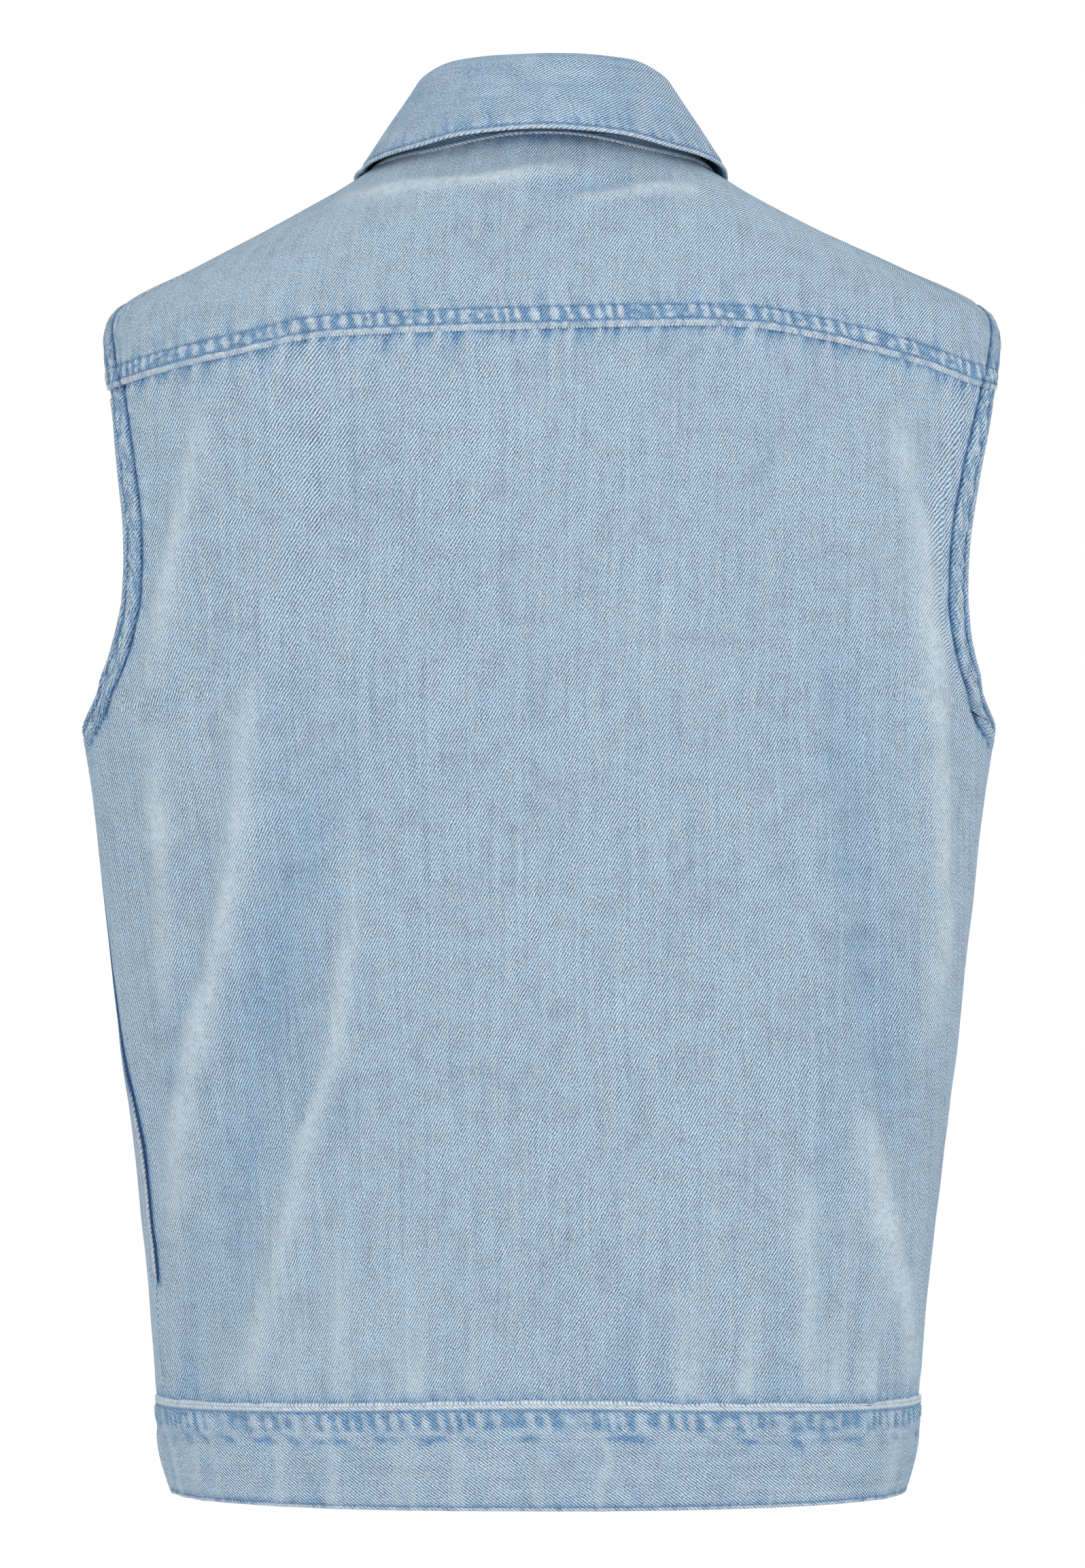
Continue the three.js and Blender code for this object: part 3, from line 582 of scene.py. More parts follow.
class NodeDesk:  # short calls for building a material
    def __init__(self, name):
        self.material = bpy.data.materials.new(name)
        self.material.use_nodes = True
        self.tree = self.material.node_tree
        self.shader = self.tree.nodes["Principled BSDF"]

    def add(self, kind, inputs=None, **settings):
        node = self.tree.nodes.new(kind)
        for key, value in settings.items():
            setattr(node, key, value)
        self.fill(node, inputs or {})
        return node

    def fill(self, node, inputs):
        for key, value in inputs.items():
            if isinstance(value, bpy.types.NodeSocket):
                self.tree.links.new(value, node.inputs[key])
            else:
                node.inputs[key].default_value = value

    def maths(self, operation, a, b=0.0, clamp=False):
        return self.add("ShaderNodeMath", {0: a, 1: b}, operation=operation, use_clamp=clamp).outputs[0]

    def mix(self, share, a, b, blend="MIX"):
        node = self.add("ShaderNodeMix", data_type="RGBA", blend_type=blend)
        self.fill(node, {0: share, 6: a, 7: b})
        return node.outputs[2]

    def span(self, value, low, high, newLow=0.0, newHigh=1.0):
        return self.add("ShaderNodeMapRange", {0: value, 1: low, 2: high, 3: newLow, 4: newHigh}).outputs[0]


denim = {
    "wale": 0.00119,  # metres between twill lines
    "bodySlant": 60, "bandSlant": 142, "collarSlant": 149,  # degrees of the twill line from level
    "light": srgb(238, 251, 255),
    "middle": srgb(167, 191, 211),
    "dark": srgb(84, 109, 141),
    "keptAndShaded": (0.46, 0.64, 0.82, 1),  # what dye kept in the furrows, together with painted shade, takes from the colour
    "navy": (0.14, 0.19, 0.32, 1),  # what painted shadow in gaps, under lapped edges and in stitch furrows takes from it
    "blue": (0.8, 0.9, 0.99, 1),  # what the bluer spots take from it
    "rubbed": srgb(234, 243, 249),
    "faded": srgb(212, 228, 237),
    "rough": 0.93,
}


def makeDenim(name, slant, warpUp=True):
    desk = NodeDesk(name)
    cloth = desk.add("ShaderNodeUVMap", uv_map="cloth").outputs[0]
    paint = desk.add("ShaderNodeAttribute", attribute_name="wearAndShade").outputs[0]
    wearAndShade = desk.add("ShaderNodeSeparateColor", {0: paint})
    pale, fold = wearAndShade.outputs[0], wearAndShade.outputs[2]
    # deep is kept dye with painted shade, and dark is painted shadow
    deep, dark = desk.span(wearAndShade.outputs[1], 0.0, 0.6), desk.span(wearAndShade.outputs[1], 0.6, 1.0)

    def noise(place, scale, detail=2.0, rough=0.5):
        return desk.add("ShaderNodeTexNoise", {"Vector": place, "Scale": scale, "Detail": detail,
                                               "Roughness": rough}).outputs[0]

    def plus(value, other, share, middle=0.5):  # value + (other - middle) * share
        part = desk.maths("MULTIPLY", desk.maths("SUBTRACT", other, middle), share)
        return desk.maths("ADD", value, part)

    # the twill: lines that wander a little, broken into the yarns that make them
    turn = (0, 0, math.radians(90 - slant))
    lined = desk.add("ShaderNodeMapping", {"Vector": cloth, "Rotation": turn}).outputs[0]
    across = desk.add("ShaderNodeSeparateXYZ", {0: lined}).outputs[0]
    phase = desk.maths("MULTIPLY", across, 2 * math.pi / denim["wale"])
    phase = plus(phase, noise(cloth, 240.0, 2.0, 0.6), 6.0)
    phase = plus(phase, noise(cloth, 14.0, 1.0), 5.0)
    wale = desk.span(desk.maths("SINE", phase), -0.8, 0.8)
    yarns = desk.add("ShaderNodeMapping", {"Vector": lined, "Scale": (1.0, 0.55, 1.0)}).outputs[0]
    beads = noise(yarns, 1800.0, 1.5, 0.6)
    stretch = (1.0, 0.045, 1.0) if warpUp else (0.045, 1.0, 1.0)
    streaks = desk.add("ShaderNodeMapping", {"Vector": cloth, "Scale": stretch}).outputs[0]
    slub = noise(streaks, 380.0, 2.0, 0.65)
    blots = noise(cloth, 105.0, 3.0, 0.62)
    patches = noise(cloth, 30.0, 3.0, 0.6)
    clouds = noise(cloth, 8.0, 2.0, 0.5)

    crisp = desk.span(patches, 0.3, 0.7, 0.8, 1.15)
    weave = plus(plus(0.0, wale, 0.55), beads, 1.3)
    weave = desk.maths("ADD", desk.maths("MULTIPLY", weave, crisp), 0.5)
    for part, share in ((slub, 0.24), (blots, 0.36), (patches, 0.16), (clouds, 0.1)):
        weave = plus(weave, part, share)
    tint = desk.add("ShaderNodeValToRGB", {0: weave})
    ramp = tint.color_ramp
    ramp.elements[0].position, ramp.elements[0].color = 0.1, denim["dark"]
    ramp.elements[1].position, ramp.elements[1].color = 0.92, denim["light"]
    ramp.elements.new(0.5).color = denim["middle"]
    spots = noise(cloth, 230.0, 2.0, 0.6)
    blue = desk.span(plus(plus(blots, spots, 0.5), patches, 0.5), 0.4, 0.72, 0.0, 0.8)
    bluer = desk.mix(blue, tint.outputs[0], denim["blue"], "MULTIPLY")

    # dye kept in the furrows together with painted shade, and dye lost from edges and fold tops
    ragged = desk.span(noise(cloth, 430.0, 2.0, 0.6), 0.34, 0.62, 0.45, 1.35)
    uneven = desk.maths("MULTIPLY", desk.span(beads, 0.3, 0.7, 0.7, 1.2), ragged)
    held = desk.maths("MULTIPLY", desk.maths("MULTIPLY", deep, 1.15), uneven, clamp=True)
    colour = desk.mix(held, bluer, denim["keptAndShaded"], "MULTIPLY")
    onLines = desk.maths("MULTIPLY", pale, desk.span(wale, 0.0, 1.0, 0.42, 1.0))
    colour = desk.mix(desk.maths("MULTIPLY", onLines, uneven, clamp=True), colour, denim["rubbed"])
    fuzzy = desk.maths("MULTIPLY", fold, desk.span(noise(cloth, 300.0, 3.0, 0.7), 0.3, 0.65, 0.25, 1.1))
    colour = desk.mix(desk.maths("MULTIPLY", fuzzy, 0.9, clamp=True), colour, denim["faded"])
    # the darkest painted shadow, in gaps and under lapped edges
    colour = desk.mix(dark, colour, denim["navy"], "MULTIPLY")
    desk.tree.links.new(colour, desk.shader.inputs["Base Color"])

    relief = plus(plus(plus(0.0, wale, 0.8), beads, 0.8), slub, 0.3)
    grainy = desk.add("ShaderNodeBump", {"Strength": 0.7, "Distance": 0.0002, "Height": relief})
    desk.tree.links.new(grainy.outputs[0], desk.shader.inputs["Normal"])
    desk.shader.inputs["Roughness"].default_value = denim["rough"]
    desk.shader.inputs["Specular IOR Level"].default_value = 0.05
    return desk.material


def makeThread(name, low, high):
    desk = NodeDesk(name)
    place = desk.add("ShaderNodeTexCoord").outputs["Object"]
    twist = desk.add("ShaderNodeTexNoise", {"Vector": place, "Scale": 900.0, "Detail": 2.0})
    colour = desk.mix(desk.span(twist.outputs[0], 0.35, 0.65), low, high)
    desk.tree.links.new(colour, desk.shader.inputs["Base Color"])
    grainy = desk.add("ShaderNodeBump", {"Strength": 0.5, "Distance": 0.0001, "Height": twist.outputs[0]})
    desk.tree.links.new(grainy.outputs[0], desk.shader.inputs["Normal"])
    desk.shader.inputs["Roughness"].default_value = 0.7
    return desk.material


def makeMetal():
    desk = NodeDesk("dulledNickel")
    place = desk.add("ShaderNodeTexCoord").outputs["Object"]
    marks = desk.add("ShaderNodeTexNoise", {"Vector": place, "Scale": 700.0, "Detail": 4.0, "Roughness": 0.7})
    colour = desk.mix(desk.span(marks.outputs[0], 0.35, 0.7), srgb(150, 146, 138), srgb(196, 192, 184))
    desk.tree.links.new(colour, desk.shader.inputs["Base Color"])
    desk.tree.links.new(desk.span(marks.outputs[0], 0.3, 0.7, 0.24, 0.46), desk.shader.inputs["Roughness"])
    grainy = desk.add("ShaderNodeBump", {"Strength": 0.25, "Distance": 0.0001, "Height": marks.outputs[0]})
    desk.tree.links.new(grainy.outputs[0], desk.shader.inputs["Normal"])
    desk.shader.inputs["Metallic"].default_value = 1.0
    return desk.material


bodyDenim = makeDenim("bodyDenim", denim["bodySlant"])
bandDenim = makeDenim("bandDenim", denim["bandSlant"], warpUp=False)
collarDenim = makeDenim("collarDenim", denim["collarSlant"], warpUp=False)
threadFinish = makeThread("paleThread", srgb(104, 124, 160), srgb(150, 166, 194))
darkThreadFinish = makeThread("blueThread", srgb(72, 106, 150), srgb(104, 134, 172))
metalFinish = makeMetal()
print("materials ready")


# Pocket mouths: where the side pockets open, just in front of the side seams
# lineLeft and lineRight are the widths of the painted pocket shadow on the back cloth
pocket = {"top": -337, "bottom": -521, "wide": 12, "thick": 1.4, "outer": 0.5, "gap": 0.7, "row": 6.5,
          "closedBelow": -452, "openAbove": -425, "lineLeft": 5.5, "lineRight": 1.5, "flat": (0.013, 0.187)}


# Back panel
backPanel = {"thick": 1.3, "tuck": 4.0, "wide": 430, "columnPitch": 1.65, "rowPitch": 3.4,
             "flat": (0.572, 0.498), "area": 0.25}


def makeBackPanel():
    corner = math.radians(cornerDeg())

    def borderAt(side, sign):
        def at(z):
            seam = sideSeamAngle(side, z)
            return sign * np.where(z > levels["yokeCorner"], corner,
                                   np.where(z > levels["armpit"], armholeAngle(side, z, "back"), seam))
        return at

    count = round(backPanel["wide"] / backPanel["columnPitch"]) - 45
    columns = stops((0, 0.004, 3), (0.004, 0.055, 25), (0.055, 0.945, count), (0.945, 0.996, 25),
                    (0.996, 1, 3))
    low, high = levels["waistSeam"] - 5, levels["yokeCorner"]
    rows = rowsFor(low, high, 0.9, backPanel["rowPitch"], (low, levels["armpit"] + 1, high))
    # beyond 0 and 1 the cloth is tucked away
    rows = np.concatenate([[-0.3, -0.2, -0.1], rows, [1.1, 1.2, 1.3]])
    angle, z, t = panelGrid(columns, rows, borderAt("Right", -1), borderAt("Left", 1), bandTopAt,
                               lambda angle: yokeLow(np.degrees(angle)))
    tuckShare = np.maximum(np.maximum(-t, t - 1), 0) / 0.3
    tucked = tuckShare * backPanel["tuck"] - 0.5 * (tuckShare == 0)
    z = z + np.sign(t - 0.5) * tuckShare * backPanel["tuck"]
    points, wearAndShade = onForm(angle, z)
    look = newLook(points)
    look["fold"] = wearAndShade
    clothUnder(look, points, "yokeSeam", seed=3, tucked=np.where(t > 0.5, tucked, -1))
    away, along = clothUnder(look, points, "waistSeam", seed=43, strength=0.4,
                             tucked=np.where(t < 0.5, tucked, -1))
    drawn = wobble(along + 0.1 * away, 8, 77) + 0.6 * wobble(along - 0.1 * away, 19, 78)
    look["lift"] += 0.6 * drawn * np.exp(-away / 26)
    look["fold"] += 0.8 * np.maximum(drawn - 0.2, 0) * smooth(away, 2, 9) * np.exp(-away / 36)
    look["deep"] += 0.4 * np.maximum(-drawn - 0.2, 0) * smooth(away, 2, 9) * np.exp(-away / 26)
    x, height = points[..., 0], points[..., 2]
    # painted shade: a broad darker area low on the left, and one on the right
    shadedAreas = smooth(x, 40, 110) * (1 - smooth(x, 170, 196))
    shadedAreas *= smooth(height, -560, -480) * (1 - smooth(height, -270, -200))
    shadedAreas += 0.8 * smooth(-x, 90, 130) * (1 - smooth(-x, 160, 180)) * (1 - smooth(height, -260, -200))
    mottle = 0.5 + 0.9 * cloudy(x + 500, 0.45 * height, 16, 79) + 0.6 * cloudy(x + 500, 0.6 * height, 6, 80)
    look["deep"] += 0.12 * shadedAreas * np.maximum(mottle, 0)
    for side in ("Left", "Right"):
        edge = newLook(points)
        armholeEdge(edge, points, side)
        keep = smooth(z, levels["armpit"] - 16, levels["armpit"] - 2) * (1 - smooth(t, 1, 1.1))
        addLook(look, edge, keep)
        away = fromLine(points, lines["side" + side])[0]
        below = 1 - smooth(z, levels["armpit"] - 12, levels["armpit"])
        look["lift"] -= (1.0 - np.sqrt(np.maximum(1 - (1 - np.clip(away, 0, 1)) ** 2, 0))) * below
        atPocket = smooth(z, pocket["bottom"] - 6, pocket["bottom"])
        atPocket *= 1 - smooth(z, pocket["top"], pocket["top"] + 6)
        # painted shade along the side seam's gap, stronger beside the pocket
        look["deep"] += (0.5 + 0.9 * atPocket) * bump(away, 1.2 + 0.9 * atPocket) * below
        # painted shadow of the pocket's gap, and wider on the left than a real shadow, to look as wide from
        # behind as in the photo
        look["dark"] += 1.8 * atPocket * bump(away, pocket["line" + side]) * below
    askew = 0.10 * smooth(points[..., 0], 0, 190) + 0.03 * smooth(-points[..., 0], 0, 190)
    # lengths across are cut where the cloth turns away, so the twill there is drawn up to twice as wide
    steps = np.diff(points, axis=1)
    long = np.linalg.norm(steps, axis=2)
    across = fromMiddle(runningSum(long * np.clip(np.abs(steps[..., 0]) / long, 0.3, 1) ** 0.6, 1))
    piece, cloth = makeCloth("back_cloth", points, look, backPanel["thick"], bodyDenim, points * [1, 1, 0],
                             askew=askew, lengths=(across, clothLengths(points)[1]))
    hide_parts("back_panel")
    return cloth


backCloth = makeBackPanel()
print("back panel ready")


# Yoke, over both shoulders
yoke = {"thick": 1.5, "outer": 0.9, "halfWide": 190, "columnPitch": 1.65, "flat": (0.71, 0.2), "area": 0.07}


def makeYoke():
    corner = cornerDeg()
    frontDeg = levels["frontSeamDeg"] - 0.1
    count = round(yoke["halfWide"] / yoke["columnPitch"])
    half = stops((0, corner - 9, count), (corner - 9, corner, 32), (corner, frontDeg, 38))
    columns = np.concatenate([-half[::-1], half[1:]])
    rows = stops((0, 0.02, 3), (0.02, 0.2, 27), (0.2, 0.85, 26), (0.85, 1, 8))
    rows = np.concatenate([rows, [1.03, 1.06]])
    deg, t = np.meshgrid(columns, rows)
    low = yokeLow(deg) - 0.5 * (np.abs(deg) < corner)
    z = low + (seamAt["neck"](np.abs(deg)) - low) * t
    points, wearAndShade = onForm(np.radians(deg), z)
    look = newLook(points)
    look["fold"] = wearAndShade
    shoulderPart = smooth(np.abs(deg), corner + 1, corner + 5)
    behind = newLook(points)
    edgeOnTop(behind, points, "yokeSeam", yokeRows, seed=3)
    addLook(look, behind, 1 - shoulderPart)
    for side, sign in (("Left", 1), ("Right", -1)):
        edge = newLook(points)
        armholeEdge(edge, points, side, 0.6)
        addLook(look, edge, smooth(sign * deg, corner - 22, corner - 14))
        ahead = newLook(points)
        edgeOnTop(ahead, points, "frontSeam" + side, yokeRows, seed=83, strength=0.8)
        addLook(look, ahead, smooth(sign * deg, 78, 90))
    away, along = fromLine(points, lines["neckSeam"])
    ropeBeyond(look, away, along, 2, 6, 8, 21, 0.7)
    # painted shade on the yoke under the collar
    look["deep"] += 0.8 * bump(away, 4)
    look["lift"] -= 0.8 * bump(away, 3)
    outward = points * [1, 1, 0] / 200 + [0, 0, 0.6]
    piece, cloth = makeCloth("yoke_cloth", points, look, yoke["thick"], bodyDenim, outward, yoke["outer"],
                             (0, 600), -0.12)
    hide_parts("back_yoke")
    return cloth


yokeCloth = makeYoke()
print("yoke ready")


# Fronts
wrapRows, wrapColumns = 221, 801
wrapZs, wrapAngles = np.linspace(-632, 28, wrapRows), np.linspace(0, 3.4, wrapColumns)
wrapRings = plainForm(wrapAngles[None, :], wrapZs[:, None])
wrapSteps = np.linalg.norm(np.diff(wrapRings, axis=1), axis=2)
wrapAcross = runningSum(wrapSteps, 1)


def frontLengths(angle, z):  # how far from the centre front along each level ring, and how far up
    i = np.clip((z - wrapZs[0]) / (wrapZs[1] - wrapZs[0]), 0, wrapRows - 1.01)
    row = i.astype(int)

    def around(turned):
        j = np.clip(turned / wrapAngles[1], 0, wrapColumns - 1.01)
        column = j.astype(int)
        low, high = [wrapAcross[r, column] * (1 - j + column) + wrapAcross[r, column + 1] * (j - column)
                     for r in (row, row + 1)]
        return low + (high - low) * (i - row)

    profile = wrapRings[:, 680]  # one column of the front, where its height is measured
    climbed = runningSum(np.linalg.norm(np.diff(profile, axis=0), axis=1), 0)
    across = np.sign(angle) * (around(np.abs(angle)) - around(np.full(angle.shape, math.pi)))
    return across, np.interp(z, wrapZs, climbed)


front = {"thick": 1.3, "tuck": 4.0, "wide": 235, "columnPitch": 2.2, "rowPitch": 4.4, "sideOut": 200,
         "seamOut": 160, "flatLeft": (0.3, 0.63), "areaLeft": 0.14, "flatRight": (0.27, 0.638),
         "areaRight": 0.128}  # sideOut and seamOut turn angles at the two seams into lengths


def makeFront(side, sign, innerEdge):
    frontAngle = math.radians(levels["frontSeamDeg"])

    def startAt(z):  # the side seam, the armhole and the seam under the yoke, tucked under at both seams
        below = 1 - smooth(z, levels["armpit"] - 14, levels["armpit"])
        seam = sideSeamAngle(side, z) - front["tuck"] / front["sideOut"] * below
        above = smooth(z, levels["frontCorner"], levels["frontCorner"] + 7)
        under = frontAngle - front["tuck"] / front["seamOut"] * above
        return np.where(z > levels["frontCorner"], under,
                        np.where(z > levels["armpit"], armholeAngle(side, z, "front"), seam))

    def endAt(z):
        return angleAtHalfWidth(innerEdge, np.minimum(z, -50.0), "front")

    count = round(front["wide"] / front["columnPitch"]) - 8
    columns = stops((0, 0.01, 3), (0.01, 0.1, 24), (0.1, 1, count))
    low, high = levels["waistSeam"] - 5, float(seamAt["neck"](levels["frontSeamDeg"]))
    rows = rowsFor(low, high, 0.9, front["rowPitch"], (low, levels["armpit"] + 1, levels["frontCorner"]))
    rows = np.concatenate([[-0.3, -0.15], rows])
    angle, z, t = panelGrid(columns, rows, startAt, endAt, bandTopAt,
                               lambda angle: seamAt["neck"](np.degrees(angle)))
    angle = sign * angle
    tuckShare = np.maximum(-t, 0) / 0.3
    tucked = tuckShare * front["tuck"] - 0.5 * (tuckShare == 0)
    z = z - tuckShare * front["tuck"]
    points, wearAndShade = onForm(angle, z)
    look = newLook(points)
    look["fold"] = wearAndShade
    clothUnder(look, points, "waistSeam", seed=143, strength=0.4, tucked=tucked)
    sideGap = (np.abs(angle) - sideSeamAngle(side, z)) * front["sideOut"]
    seamBelow = 1 - smooth(z, levels["armpit"] - 10, levels["armpit"])
    look["lift"] -= 2.0 * (1 - smooth(sideGap, -1.0, 0.8)) * seamBelow
    # painted shade where the front tucks under the back at the side seam
    look["deep"] += (1 - smooth(sideGap, -1.0, 1.5)) * seamBelow
    atPocket = smooth(z, pocket["bottom"] - 3, pocket["bottom"] + 1)
    atPocket *= 1 - smooth(z, pocket["top"] - 1, pocket["top"] + 3)
    underLip = smooth(sideGap, -1, 0) * (1 - smooth(sideGap, pocket["wide"] - 1, pocket["wide"] + 1.5))
    look["lift"] -= 1.6 * atPocket * underLip * (sideGap > -1)
    yokeGap = (frontAngle - np.abs(angle)) * front["seamOut"]
    look["lift"] -= 2.3 * smooth(yokeGap, -0.4, 1.6) * (z > levels["frontCorner"])
    edge = newLook(points)
    armholeEdge(edge, points, side)
    addLook(look, edge, smooth(z, levels["armpit"] - 16, levels["armpit"] - 2))
    under = newLook(points)
    clothUnder(under, points, "frontSeam" + side, seed=83, strength=0.8)
    addLook(look, under, smooth(z, levels["frontCorner"] - 30, levels["frontCorner"] - 5))
    away, along = fromLine(points, lines["neckSeam"])
    ropeBeyond(look, away, along, 2, 6, 8, 21, 0.6)
    piece, cloth = makeCloth("front_cloth_" + side.lower(), points, look, front["thick"], bodyDenim,
                             points * [1, 1, 0], 0.0, (900 * sign, 100), lengths=frontLengths(angle, z))
    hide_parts("front_" + side.lower())
    return cloth


frontLeft = makeFront("Left", 1, levels["tuckedEdge"] + 0.15)
frontRight = makeFront("Right", -1, levels["placketHalf"] + 0.15)
print("fronts ready")


# Waistband, one doubled strip that laps at the centre front
band = {"puckerPeriod": 7.3, "thick": 2.6, "outer": 1.2, "lap": 2.9, "frontOut": 118, "flat": (1.03, 0.052)}


def makeBand():
    hemZ = float(levels["hem"])
    tucked, half = levels["tuckedEdge"], levels["placketHalf"]
    underOut, overOut, rampStart, lapStart = [
        float(angleAtHalfWidth(x, hemZ, "front")) for x in (tucked - 0.15, half, 46.0, tucked + 2.0)]
    underEnd, overEnd = underOut - 2 * math.pi, 2 * math.pi - overOut
    columns = stops((underEnd, underEnd + 0.02, 4), (underEnd + 0.02, -1.65, 120), (-1.65, 1.65, 400),
                    (1.65, overEnd - 0.02, 120), (overEnd - 0.02, overEnd, 4))
    rows = stops((0, 0.06, 5), (0.06, 0.6, 13), (0.6, 0.97, 26), (0.97, 1, 4))
    angle, t = np.meshgrid(columns, rows)
    z = hemZ + (bandTopAt(angle) + 0.6 - hemZ) * t
    points, wearAndShade = onForm(angle, z)
    look = newLook(points)
    look["fold"] = 0.5 * wearAndShade
    lift = band["lap"] * smooth(angle, rampStart, lapStart)
    away, along = fromLine(points, lines["waistSeam"])
    rollEdge(look, away, 1.1, 1.0)
    sewRow(look, away, sewing["edgeRow"], 0.5)
    reach = 12 + 1.2 * wobble(along, 5, 71)
    teeth = pucker(along + 0.25 * away, band["puckerPeriod"], 43)
    teeth = teeth + 0.8 * cloudy(along + 200, 1.3 * away, 5, 44)
    teeth = np.clip(1.5 * teeth - 0.2, -1, 1)
    window = smooth(away, 2.8, 4.2) * (1 - smooth(away, reach - 3, reach + 1))
    look["lift"] += 0.55 * teeth * window
    look["pale"] += 0.45 * np.maximum(teeth, 0) * window
    look["deep"] += (0.2 + 0.9 * np.maximum(-teeth, 0)) * window
    look["deep"] += 0.16 * cloudy(along, away, 9, 45) + 0.12 * cloudy(along, away, 4, 46)
    spots = np.maximum(cloudy(along + 0.8 * away, 1.5 * away, 6, 57) + 0.35 * wobble(along, 14, 58) + 0.05, 0)
    under = bump(away - 15.5 - 1.5 * wobble(along, 9, 59), 2.2)  # where the seam's turned edge ends inside
    look["deep"] += 1.5 * spots * under
    look["lift"] -= 0.4 * under * (0.4 + spots)
    look["pale"] += 0.5 * np.maximum(wobble(along, 5, 60), 0) * bump(away - 12.8, 1.6)
    bent = along + 3 * wobble(away, 13, 62) + 1.5 * wobble(away + along, 6, 63)
    rib = np.maximum(wobble(bent, 7.5, 61) - 0.3, 0) * smooth(away, 12, 19)
    look["lift"] += 1.2 * rib
    look["fold"] = look["fold"] + 0.7 * rib
    edgeOnTop(look, points, "hem", (sewing["hemRow"],), seed=47, strength=0.4)
    for end in (underEnd, overEnd):
        away = np.abs(angle - end) * band["frontOut"]
        rollEdge(look, away, 1.1)
        sewRow(look, away, sewing["edgeRow"])
    look["lift"] += lift
    piece, cloth = makeCloth("waistband_cloth", points, look, band["thick"], bandDenim,
                             points * [1, 1, 0], band["outer"], (0, 1300))
    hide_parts("waistband")
    return cloth


bandCloth = makeBand()
print("waistband ready")


# Collar: the stand inside, and the leaf that folds over it
collar = {
    "share": [-0.25, 0, 0.25, 0.5, 0.75, 1], "foldDeg": [-45, 0, 45, 90, 135, 178],
    "foldOut": [58.5, 61, 58.5, 56, 65, 75], "foldZ": [47.6, 49.2, 47.6, 37, 2, -36],
    "edgeShare": [-0.125, 0, 0.125, 0.25, 0.5, 0.6, 0.7, 0.8, 1],
    "edgeDeg": [-22.5, 0, 22.5, 45, 88, 102, 113, 124, 150],
    "edgeOut": [88, 88.5, 88, 86, 87.5, 90, 96, 104.5, 119],
    "edgeZ": [13.4, 15.6, 13.4, 8.4, 0.5, -3, -15, -35, -95],
    "clear": 4.2, "leafThick": 2.0, "standThick": 1.0, "leafFlat": (0.59, 0.09), "leafArea": 0.031,
    "standFlat": (0.545, 0.04),
}
foldAt = {key: smoothCurve(collar["share"], collar["fold" + key]) for key in ("Deg", "Out", "Z")}
edgeAt = {key: smoothCurve(collar["edgeShare"], collar["edge" + key]) for key in ("Deg", "Out", "Z")}


def fromAxis(angle, out, z):
    return np.stack([out * np.sin(angle), out * np.cos(angle), z + 0 * out], axis=-1)


def leafFace(share, t):
    part, side = np.abs(share), np.where(share < 0, -1.0, 1.0)
    angle = side * np.radians(foldAt["Deg"](part) * (1 - t) + edgeAt["Deg"](part) * t)
    overFold = 1 - (1 - np.minimum(1, t / 0.1)) ** 2
    z = foldAt["Z"](part) * (1 - t) + edgeAt["Z"](part) * t + 3 * (1 - t * t)
    out = foldAt["Out"](part) * (1 - t) + edgeAt["Out"](part) * t - 0.9 + 3.9 * overFold - 3 * t
    near = z < seamAt["neck"](np.abs(np.degrees(angle))) + 12
    normal = formNormal(angle, z)
    level = normal[..., 0] * np.sin(angle) + normal[..., 1] * np.cos(angle)
    clear = formRadius(angle, z) + collar["clear"] / np.maximum(0.35, level)
    clear = clear + ringAt["lean"](z) * np.sin(angle)
    out = np.where(near, np.maximum(out, clear), out)
    return fromAxis(angle, out, z)


def makeLeaf():
    shares = stops((-1, -0.992, 3), (-0.992, 0.992, 330), (0.992, 1, 3))
    rows = stops((0, 0.12, 10), (0.12, 0.9, 22), (0.9, 1, 9))
    share, t = np.meshgrid(shares, rows)
    points = leafFace(share, t)
    edgeLine = lineThrough(leafFace(shares, np.ones(len(shares))))
    endLines = [lineThrough(leafFace(np.full(60, side), np.linspace(0, 1, 60))) for side in (-1.0, 1.0)]
    look = newLook(points)
    for line in (edgeLine, *endLines):
        away, along = fromLine(points, line)
        rollEdge(look, away, 1.1, 0.7)
        sewRow(look, away, sewing["collarRow"], 0.35)
        ropeBeyond(look, away, along, sewing["collarRow"], 7, 6.5, 91, 1.0)
        ropeBetween(look, away, along, 0, sewing["collarRow"], 2.8, 95, 0.3)
    look["deep"] += 0.18 + 0.2 * cloudy(points[..., 0] + 200, points[..., 2] + 200, 9, 97)
    piece, cloth = makeCloth("collar_leaf_cloth", points, look, collar["leafThick"], collarDenim,
                             points * [1, 1, 0] / 80 + [0, 0, 0.4], 0.0, (0, 1500),
                             lengths=clothLengths(points, 20))
    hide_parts("collar_leaf")
    return {**cloth, "edgeLine": edgeLine, "endLines": endLines}


